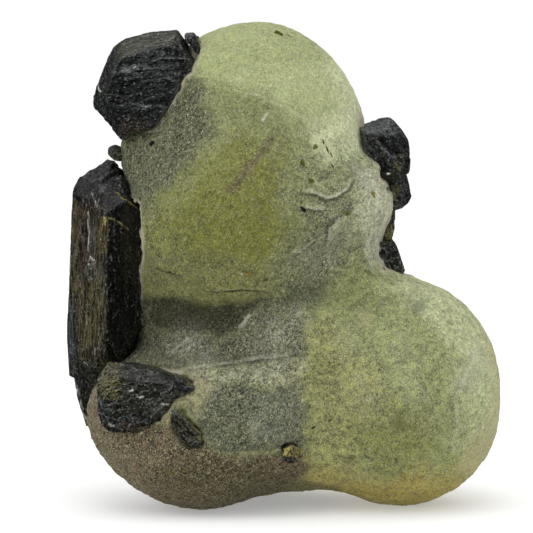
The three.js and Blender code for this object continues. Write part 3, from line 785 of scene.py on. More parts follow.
def mesh_normals(mesh, points):
    """Writes points in millimetres to the mesh and gives its normals."""
    mesh.vertices.foreach_set("co", (points * MM).ravel())
    mesh.update()
    normals = np.empty(len(mesh.vertices) * 3, np.float32)
    mesh.vertex_normals.foreach_get("vector", normals)
    return normals.reshape(-1, 3).astype(float)


def write_mask(mesh, name, values):
    """Stores a number from 0 to 1 at each vertex under that name."""
    attribute = mesh.attributes.new(name, "FLOAT", "POINT")
    attribute.data.foreach_set("value", np.clip(values, 0, 1).astype(np.float32))


def write_tint(mesh, tint):
    """Stores each vertex's colour."""
    attribute = mesh.attributes.new("tint", "FLOAT_COLOR", "POINT")
    filled = np.concatenate([np.clip(tint, 0, 1), np.ones((len(tint), 1))], axis=1)
    attribute.data.foreach_set("color", filled.astype(np.float32).ravel())


def add_piece(name, mesh, material, replaces=()):
    """Links a finished mesh as a piece of the specimen."""
    piece = bpy.data.objects.new(name, mesh)
    bpy.context.scene.collection.objects.link(piece)
    mesh.materials.clear()
    mesh.materials.append(material)
    mesh.shade_smooth()
    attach(piece, "root")
    if replaces:
        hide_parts(*replaces)
    return piece


# Shader building


def new_material(name, finish):
    """A material with a Principled shader whose plain values are the finish, and its node tree."""
    material = bpy.data.materials.new(name)
    material.use_nodes = True
    tree = material.node_tree
    tree.nodes.clear()
    shader = tree.nodes.new("ShaderNodeBsdfPrincipled")
    output = tree.nodes.new("ShaderNodeOutputMaterial")
    tree.links.new(shader.outputs[0], output.inputs[0])
    for label, value in finish.items():
        shader.inputs[label].default_value = value
    return material, tree, shader


def new_group(name, inputs, outputs, build):
    """A node group. The build function gets its tree and inputs, and gives what goes to each output."""
    group = bpy.data.node_groups.new(name, "ShaderNodeTree")
    for way, sockets in (("INPUT", inputs), ("OUTPUT", outputs)):
        for label, kind in sockets.items():
            group.interface.new_socket(label, in_out=way, socket_type="NodeSocket" + kind)
    given = group.nodes.new("NodeGroupInput").outputs
    taken = group.nodes.new("NodeGroupOutput").inputs
    for label, value in build(group, given).items():
        feed(group, taken[label], value)
    return group


def placed_group(tree, group, values):
    """The outputs of a node group that is placed in a material with its values."""
    node = tree.nodes.new("ShaderNodeGroup")
    node.node_tree = group
    for label, value in values.items():
        feed(tree, node.inputs[label], value)
    return node.outputs


def feed(tree, socket, value):
    """Links a socket, or sets it to a plain value."""
    if isinstance(value, bpy.types.NodeSocket):
        tree.links.new(value, socket)
    elif hasattr(value, "__len__") and socket.type == "RGBA":
        socket.default_value = (*value[:3], 1.0)
    else:
        socket.default_value = value


def calculate(tree, operation, first, second=0.0, clamp=False):
    """One sum."""
    node = tree.nodes.new("ShaderNodeMath")
    node.operation = operation
    node.use_clamp = clamp
    feed(tree, node.inputs[0], first)
    feed(tree, node.inputs[1], second)
    return node.outputs[0]


def product(tree, first, *others):
    """Values multiplied together."""
    for other in others:
        first = calculate(tree, "MULTIPLY", first, other)
    return first


def total(tree, first, *others):
    """Values added up."""
    for other in others:
        first = calculate(tree, "ADD", first, other)
    return first


def mixed(tree, share, first, second):
    """Two colours mixed."""
    node = tree.nodes.new("ShaderNodeMix")
    node.data_type = "RGBA"
    feed(tree, node.inputs[0], share)
    feed(tree, node.inputs[6], first)
    feed(tree, node.inputs[7], second)
    return node.outputs[2]


def ranged(tree, value, low, high, to_low=0.0, to_high=1.0):
    """A value carried smoothly from one range to another."""
    node = tree.nodes.new("ShaderNodeMapRange")
    node.interpolation_type = "SMOOTHSTEP"
    for index, number in enumerate((value, low, high, to_low, to_high)):
        feed(tree, node.inputs[index], number)
    return node.outputs[0]


def mask(tree, name, output="Fac"):
    """A mask stored at the vertices, or their colour."""
    node = tree.nodes.new("ShaderNodeAttribute")
    node.attribute_name = name
    return node.outputs[output]


def place(tree, stretch=(1.0, 1.0, 1.0), turn=(0.0, 0.0, 0.0)):
    """The place on the object, stretched and turned."""
    coordinates = tree.nodes.new("ShaderNodeTexCoord")
    mapping = tree.nodes.new("ShaderNodeMapping")
    mapping.vector_type = "TEXTURE"
    mapping.inputs["Scale"].default_value = stretch
    mapping.inputs["Rotation"].default_value = turn
    tree.links.new(coordinates.outputs["Object"], mapping.inputs[0])
    return mapping.outputs[0]


def noise(tree, vector, size, detail=2.0, rough=0.5, twist=0.0):
    """Noise with lumps of that size in metres."""
    node = tree.nodes.new("ShaderNodeTexNoise")
    feed(tree, node.inputs["Vector"], vector)
    node.inputs["Scale"].default_value = 1.0 / size
    node.inputs["Detail"].default_value = detail
    node.inputs["Roughness"].default_value = rough
    node.inputs["Distortion"].default_value = twist
    return node.outputs["Fac"]


def speckle(tree, vector, unit, specks):
    """Steep noise from a dark to a light value, from one row of SPECKS."""
    size, reach, low, high, middle = specks
    lumps = noise(tree, vector, unit * size, 2.0, 0.6, 1.0)
    return ranged(tree, lumps, middle - reach, middle + reach, low, high)


def facet_height(tree, vector, size):
    """A height of small tilted faces, and each face's own random colour."""
    cells = tree.nodes.new("ShaderNodeTexVoronoi")
    feed(tree, cells.inputs["Vector"], vector)
    cells.inputs["Scale"].default_value = 1.0 / size
    away = tree.nodes.new("ShaderNodeVectorMath")
    away.operation = "SUBTRACT"
    tree.links.new(vector, away.inputs[0])
    tree.links.new(cells.outputs["Position"], away.inputs[1])
    tilt = tree.nodes.new("ShaderNodeVectorMath")
    tilt.operation = "SUBTRACT"
    tree.links.new(cells.outputs["Color"], tilt.inputs[0])
    tilt.inputs[1].default_value = (0.5, 0.5, 0.5)
    height = tree.nodes.new("ShaderNodeVectorMath")
    height.operation = "DOT_PRODUCT"
    tree.links.new(away.outputs[0], height.inputs[0])
    tree.links.new(tilt.outputs[0], height.inputs[1])
    return height.outputs["Value"], cells.outputs["Color"]


def bump(tree, height, distance, strength, under=None):
    """A bump whose height is in metres times the distance."""
    node = tree.nodes.new("ShaderNodeBump")
    feed(tree, node.inputs["Height"], height)
    node.inputs["Distance"].default_value = distance
    node.inputs["Strength"].default_value = strength
    if under is not None:
        tree.links.new(under, node.inputs["Normal"])
    return node.outputs[0]


def scaled_colour(tree, colour, factor):
    """A colour made lighter or darker by a factor."""
    node = tree.nodes.new("ShaderNodeVectorMath")
    node.operation = "SCALE"
    feed(tree, node.inputs[0], colour)
    feed(tree, node.inputs["Scale"], factor)
    return node.outputs[0]


def fibres(tree, vector, unit, threads):
    """Thin curled threads, from their size, width and share."""
    size, width, share = threads
    away = calculate(tree, "SUBTRACT", noise(tree, vector, unit * size, 1.0, 0.5, 0.8), 0.5)
    return ranged(tree, calculate(tree, "ABSOLUTE", away), width, 0.0, 0.0, share)


# Prehnite


def prehnite_directions(settings):
    """A fine ball as a mesh, and the direction of each of its vertices, closer together at the front."""
    shape = bmesh.new()
    bmesh.ops.create_icosphere(shape, subdivisions=settings.sphere_detail, radius=1.0)
    bmesh.ops.subdivide_edges(shape, edges=shape.edges[:], cuts=settings.sphere_cuts, use_grid_fill=True)
    bmesh.ops.recalc_face_normals(shape, faces=shape.faces[:])
    mesh = bpy.data.meshes.new("prehnite_visual")
    shape.to_mesh(mesh)
    shape.free()
    points, edges, degree = mesh_arrays(mesh)
    directions = points / np.linalg.norm(points, axis=1, keepdims=True)
    directions[:, 1] -= settings.front_bias
    directions /= np.linalg.norm(directions, axis=1, keepdims=True)
    return mesh, directions, edges, degree


def prehnite_surface(directions, edges, degree):
    """Carries the directions in to the surface and evens the vertices out along it."""
    start = np.array(RAY_CENTRE) + directions * np.array(RAY_SPREAD)
    start[:, 0] += RAY_LEAN * directions[:, 2]
    start[:, 2] += RAY_LEAN * directions[:, 0]
    reach = np.full(len(directions), RAY_LENGTH)
    for _ in range(RAY_STEPS):
        reach -= RAY_STRIDE * mass_distance(start + directions * reach[:, None])
    points = start + directions * reach[:, None]
    for turn in range(EVEN_ROUNDS):
        points = eased(points, edges, degree, EVEN_SHARE)
        distance = mass_distance(points)
        normals = mass_normal(points, distance)
        if turn >= CREASE_ROUND:
            distance = np.minimum(distance, 0)
        points -= normals * distance[:, None]
    return points, normals


def front_share(points, normals):
    """1 on the front of the mass and 0 on its back, with an uneven change between them."""
    return fade(normals[:, 1] + FRONT_WANDER * fractal(points, *NOISES["front"]), *FRONT_FADE)


def warp(points, name):
    """How far X and Z wander at each point, from -1 to 1."""
    size, seeds, octaves = WARPS[name]
    return np.stack([fractal(points, size, seed, octaves) for seed in seeds], axis=1)


def prehnite_colours(points, normals):
    """Each vertex's colour and strength of grain, and how much it belongs to each zone."""
    settings = bpy.context.scene.prehnite_settings
    front = front_share(points, normals)
    back = 1 - front
    tint = np.tile(np.array(settings.green, float), (len(points), 1))
    grain = PLAIN_GRAIN + (BACK_GRAIN - PLAIN_GRAIN) * back
    values = {"noise": fractal(points, *NOISES["back"]), "x": points[:, 0], "z": points[:, 2]}
    for colour, (cover, fades) in BACK.items():
        share = math.prod([fade(values[name], *ends) for name, ends in fades.items()], start=cover * back)
        paint(tint, getattr(settings, colour), share)
    strays = warp(points, "zones") + FINE_WARP * warp(points, "zones, fine")
    least, softened = ZONE_WARP
    shares = {}
    for name, (colour, cover, grains, soft, outline) in ZONES.items():
        spots = points[:, [0, 2]] + strays * (least + softened * soft)
        shares[name] = front * fade(-outline_distance(spots, outline), -soft / 2, soft / 2)
        paint(tint, getattr(settings, colour), cover * shares[name])
        paint(grain, grains, shares[name])
    for colour, cover, width, line in STREAKS.values():
        distance, _ = line_distance(points[:, [0, 2]] + strays * STREAK_WARP, line)
        paint(tint, getattr(settings, colour), cover * front * fade(-np.abs(distance), -width, 0))
    return tint, grain, shares


def prehnite_steps(points, normals):
    """Relief of the stepped lines, and each vertex's line: side, painted pale lip and painted foot shadow."""
    front = front_share(points, normals)
    spots = points[:, [0, 2]] + STEP_WARP * warp(points, "steps")
    height = np.zeros(len(points))
    side = np.full(len(points), STEP_REACH)
    light = np.zeros(len(points))
    dark = np.zeros(len(points))
    for rise, run, lip, foot, line in STEPS.values():
        distance, along = line_distance(spots, line)
        taper = front * fade(along, 0, STEP_TAPER) * fade(1 - along, 0, STEP_TAPER)
        steep = fade(distance, -STEP_RISE, STEP_RISE) * np.exp(-np.maximum(distance, 0) / run)
        height += rise * taper * steep
        nearer = np.abs(distance) < np.abs(side)
        near = taper * fade(-np.abs(distance), -STEP_REACH, -STEP_NEAR)
        side = np.where(nearer, distance, side)
        light = np.where(nearer, lip * near, light)
        dark = np.where(nearer, foot * near, dark)
    for depth, width, line in GROOVES.values():
        distance, _ = line_distance(spots, line)
        height -= front * depth * np.exp(-((distance / width) ** 2))
    return height, {"side": side / STEP_REACH / 2 + 0.5, "lip": light, "foot": dark}


def prehnite_relief(points, grain, zones):
    """Height of the broad relief and of the small facets, in millimetres."""
    settings = bpy.context.scene.prehnite_settings
    height = settings.swell / MM * (fractal(points, *NOISES["swell"]) * 0.5 - 0.5)
    for depth, size, seed in FACETS:
        height += settings.hackle / MM * depth * grain * facets(points, size, seed)
    depth, size, seed = GRIT
    height += depth * grain * smooth_noise(points, size, seed)
    for centre, radius, rise in BULGES.values():
        height += rise * np.exp(-((points - np.array(centre)) ** 2).sum(axis=1) / radius ** 2)
    hollow = np.maximum(zones["waist"], zones["hollow"])
    height -= HOLLOW_DEPTH * hollow * (1 - HOLLOW_WAVE + HOLLOW_WAVE * fractal(points, *NOISES["hollow"]))
    x, y, z = points.T
    shares = {**zones, "window": zones["window"] * fade(z, *WINDOW_RIPPLE_TOP)}
    for name, (depth, size, seed, (x_from_x, x_from_z, z_from_x)) in RIPPLES.items():
        slanted = np.stack([x * x_from_x + z * x_from_z, y, z + x * z_from_x], axis=1)
        height += depth * shares[name] * smooth_noise(slanted, size, seed)
    return height


def sink_windows(points, smooth, normals):
    """Sinks the surface under each crystal, and gives the distance from the nearest crusted window."""
    spots = smooth[:, [0, 2]] + WINDOW_WARP * warp(smooth, "windows")
    front = fade(normals[:, 1], *WINDOW_FADE)
    rim = np.full(len(points), 1.0)
    for window in WINDOWS.values():
        distance = outline_distance(spots, window["outline"])
        pushed = np.maximum(points[:, 1], window["back"])
        points[:, 1] += (pushed - points[:, 1]) * front * fade(-distance, *WINDOW_EDGE)
        if window["crust"]:
            behind = fade(smooth[:, 1], *(window["back"] + depth for depth in CRUST_DEPTH))
            rim = np.minimum(rim, np.maximum(distance / window["crust"], np.maximum(1 - front, behind)))
    return rim


def spot_share(points, spots):
    """How near each point is to the nearest of the spots, 1 at its middle."""
    shares = np.zeros(len(points))
    for x, z, radius in spots:
        away = np.hypot(points[:, 0] - x, points[:, 2] - z)
        shares = np.maximum(shares, np.exp(-((away / radius) ** 2)))
    return shares


def prehnite_mesh():
    """The prehnite's mesh with its relief, its colours and room for the crystals."""
    mesh, directions, edges, degree = prehnite_directions(bpy.context.scene.prehnite_settings)
    smooth, normals = prehnite_surface(directions, edges, degree)
    tint, grain, zones = prehnite_colours(smooth, normals)
    steps, masks = prehnite_steps(smooth, normals)
    points = smooth + normals * (steps + prehnite_relief(smooth, grain, zones))[:, None]
    masks["rim"] = sink_windows(points, smooth, normals)
    masks["grain"] = grain / GRAIN_LIMIT
    low, high = (np.array(corner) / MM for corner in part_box("prehnite_mass"))
    mesh_normals(mesh, np.clip(points, low, high))
    front = fade(normals[:, 1], *WINDOW_FADE)
    for name, spots in (("sparks", SPARKS), ("silk", SILKS), ("fan", FANS)):
        masks[name] = front * spot_share(smooth, spots)
    for name, values in masks.items():
        write_mask(mesh, name, values)
    write_tint(mesh, tint)
    return mesh


def frosted_colour(tree, grain, specks):
    """The painted colour with its specks and its pale threads, and how much lighter the specks make it."""
    settings = bpy.context.scene.prehnite_settings
    size = settings.grain_size
    frosted = product(tree, grain, grain)
    fine = calculate(tree, "SUBTRACT", total(tree, specks["fine"], specks["middle"]), SPECKS_MEAN)
    coarse = total(tree, specks["coarse"], specks["cloudy"])
    swing = total(tree, product(tree, fine, grain), product(tree, coarse, frosted), 1.0)
    factor = calculate(tree, "MAXIMUM", swing, DARKEST)
    colour = scaled_colour(tree, mask(tree, "tint", "Color"), factor)
    drawn_out = place(tree, (1.0, 1.0, THREAD_STRETCH), (0.0, math.radians(THREAD_TURN), 0.0))
    threads = product(tree, fibres(tree, drawn_out, size, SHORT_THREADS), grain)
    long_threads = product(tree, fibres(tree, drawn_out, size, LONG_THREADS), frosted)
    threads = calculate(tree, "ADD", threads, long_threads, True)
    colour = mixed(tree, threads, colour, settings.veil)
    for name, (turn, comb) in COMBS.items():
        combed = place(tree, (1.0, 1.0, COMB_STRETCH), (0.0, math.radians(turn), 0.0))
        share = product(tree, fibres(tree, combed, size, comb), mask(tree, name))
        colour = mixed(tree, share, colour, settings.rim)
    return colour, factor


def lined_colour(tree, colour, middle):
    """Colour with painted shadow at the steps' feet, pale painted lips and the beige crust by the crystals.
    """
    settings = bpy.context.scene.prehnite_settings
    broken = ranged(tree, middle, *LINE_BREAKS)
    side = mask(tree, "side")
    # Each foot gets the shade colour as painted shadow below its step, and each lip the rim colour, a painted
    # highlight on a raised edge
    for name, (rise, fall), over in (("foot", FOOT_SHADOW, settings.shade), ("lip", LIP, settings.rim)):
        shape = product(tree, ranged(tree, side, *rise), ranged(tree, side, *fall))
        share = product(tree, shape, mask(tree, name), broken)
        colour = mixed(tree, share, colour, over)
    edge = total(tree, mask(tree, "rim"), product(tree, middle, CRUST_ROUGH))
    width = settings.rim_width / MM
    edge = ranged(tree, edge, width, width * CRUST_WHOLE, 0.0, CRUST_SHARE)
    return mixed(tree, edge, colour, settings.crust)


def prehnite_material():
    """Frosted, translucent green: painted colours, fine grain, stepped lines, pale rims and painted glints.
    """
    settings = bpy.context.scene.prehnite_settings
    material, tree, shader = new_material("prehnite", PREHNITE_FINISH)
    shader.inputs["Subsurface Scale"].default_value = settings.scatter
    where = place(tree)
    grain = product(tree, mask(tree, "grain"), GRAIN_LIMIT)
    specks = {name: speckle(tree, where, settings.grain_size, row) for name, row in SPECKS.items()}
    colour, factor = frosted_colour(tree, grain, specks)
    colour = lined_colour(tree, colour, specks["middle"])
    height, cell = facet_height(tree, where, settings.grain_size * SPARK_SIZE)
    glint = tree.nodes.new("ShaderNodeSeparateColor")
    tree.links.new(cell, glint.inputs[0])
    # Sparkles: painted glints, where a cell's chance passes the start and its specks are light
    likelier = product(tree, mask(tree, "sparks"), SPARK_CHANCE)
    chance = total(tree, likelier, product(tree, grain, GRAIN_CHANCE), glint.outputs[2])
    share = product(tree, ranged(tree, chance, *SPARK_START), ranged(tree, factor, *SPARK_LIGHT))
    feed(tree, shader.inputs["Base Color"], mixed(tree, share, colour, settings.rim))
    feed(tree, shader.inputs["Roughness"], ranged(tree, glint.outputs[0], 0.0, 1.0, *PREHNITE_ROUGHNESS))
    amount = product(tree, height, ranged(tree, grain, 0.0, 1.0, *FACET_TILT))
    feed(tree, shader.inputs["Normal"], bump(tree, amount, 1.0, 1.0))
    return material


class OBJECT_OT_prehnite_mass(bpy.types.Operator):
    """Build the frosted prehnite mass from its grown-together balls"""

    bl_idname = "object.prehnite_mass"
    bl_label = "Prehnite mass"

    def execute(self, context):
        add_piece("prehnite_visual", prehnite_mesh(), prehnite_material(), ["prehnite_mass"])
        return {"FINISHED"}


# Epidote

# The relief of every crystal, with sizes as shares of the ridges' width and heights as shares of their depth:
# terraces with a steep part between them, striae by seed and octaves, and chips by size, depth and seed.
# Nothing stands out further than the top

TERRACES = 3
TERRACE_WIDTH = 3.2
TERRACE_RISE = (0.35, 0.65)
TERRACE_SEED = 201
TERRACE_SHARE = 0.45
STRIAE_SHARE = 0.8
STRIAE_NOISE = (211, 3)
CHIPS = ((3.0, 2.2, 231), (1.4, 1.2, 241))
RELIEF_TOP = 0.7

# A crystal's faces. Noises: size in metres, detail, roughness and twist. Then how the striae change the
# colour, how dark pits are painted as shade and how light edges as highlights, and where pale painted
# highlights on edges and pale painted glints along the crystal cover and how strongly

FACE_NOISES = {
    "Striae": (0.00018, 3.0, 0.65, 0.0), "Glints": (0.0001, 2.0, 0.6, 0.5), "Flecks": (0.00022, 3.0, 0.65, 0.0),
}
GLINT_STRETCH = 0.6
STRIAE_TONES = (0.38, 0.62, 0.1, 2.6)
PIT_SHADE_TONE = 0.3
EDGE_HIGHLIGHT_TONE = 2.2
EDGE_HIGHLIGHT_SHARE = 0.35
BLACK_GLINTS = 0.15
EDGE_HIGHLIGHT_RANGE = (0.45, 0.6)
GLINT_RANGE = (0.58, 0.66)
GLINT_FLECKS = (0.46, 0.56, 0.03, 0.5)
FACE_ROUGHNESS = (0.35, 0.65, 0.2, 0.4)
STRIAE_BUMP = (0.00005, 0.9)
FLECK_BUMP = (0.00007, 0.9)
EPIDOTE_FINISH = {"IOR": 1.73, "Specular IOR Level": 0.34}

# A crystal's colours: patches by name, size in millimetres and seed, how their edges fall off, and how marks
# fade where the normals turn to the side. Then how far a vertex lies out or in, as a share of a square, at an
# edge painted light as a highlight or a pit painted dark as shade, and how far outside its window a crystal
# sinks back

PATCHES = (("grey", 1.0, 251), ("olive", 1.3, 261))
PATCH_EDGE = (-0.1, 0.45)
MARK_FADE = (-0.1, 0.2)
CORNER_RANGE = (0.06, 0.28)
WINDOW_REST = (0.05, 0.35)


def crystal_mesh(node, voxel):
    """A copy of a CAD node's mesh, remeshed into small even squares."""
    shape = bmesh.new()
    shape.from_mesh(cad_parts[node].data)
    bmesh.ops.remove_doubles(shape, verts=shape.verts[:], dist=1e-6)
    bmesh.ops.recalc_face_normals(shape, faces=shape.faces[:])
    plain = bpy.data.meshes.new("plain")
    shape.to_mesh(plain)
    shape.free()
    holder = bpy.data.objects.new("holder", plain)
    bpy.context.scene.collection.objects.link(holder)
    remesh = holder.modifiers.new("remesh", "REMESH")
    remesh.mode = "VOXEL"
    remesh.voxel_size = voxel
    graph = bpy.context.evaluated_depsgraph_get()
    mesh = bpy.data.meshes.new_from_object(holder.evaluated_get(graph))
    bpy.data.objects.remove(holder)
    bpy.data.meshes.remove(plain)
    return mesh


def along_axis(points, lean):
    """Places measured across, behind and along a crystal that leans to the right by that angle."""
    turn = math.radians(lean)
    across = points[:, 0] * math.cos(turn) - points[:, 2] * math.sin(turn)
    up = points[:, 0] * math.sin(turn) + points[:, 2] * math.cos(turn)
    return np.stack([across, points[:, 1], up], axis=1)


def crystal_relief(turned, stretch, rough):
    """Stepped ridges drawn out along the crystal, and tilted facets where it is rough."""
    settings = bpy.context.scene.epidote_settings
    width = settings.ridge_width / MM

    def drawn_out(size, by):
        return (width * size, width * size, width * size * by)

    broad = smooth_noise(turned, drawn_out(TERRACE_WIDTH, stretch), TERRACE_SEED) * TERRACES
    steps = np.floor(broad) + fade(broad - np.floor(broad), *TERRACE_RISE)
    height = TERRACE_SHARE * steps + STRIAE_SHARE * fractal(turned, drawn_out(1.0, stretch), *STRIAE_NOISE)
    for size, depth, seed in CHIPS:
        height += rough * depth * facets(turned, drawn_out(size, math.sqrt(stretch)), seed)
    return settings.ridge_depth / MM * np.minimum(height, RELIEF_TOP)


# Each crystal: how it leans from upright, how drawn out its ridges are, how rough it is, how rounded its
# corners are, and its share of grey and of olive. Marks are patches, and lines are glints and thin edges,
# both on its front: colour, share, softness or width, and X and Z. Grey and pale marks and lines are mostly
# painted glints, sheen and highlights, and some dark ones are painted shade in pockets and grooves. Outside
# its window a crystal lies behind that Y, and one that reaches up grows by that much above that Z

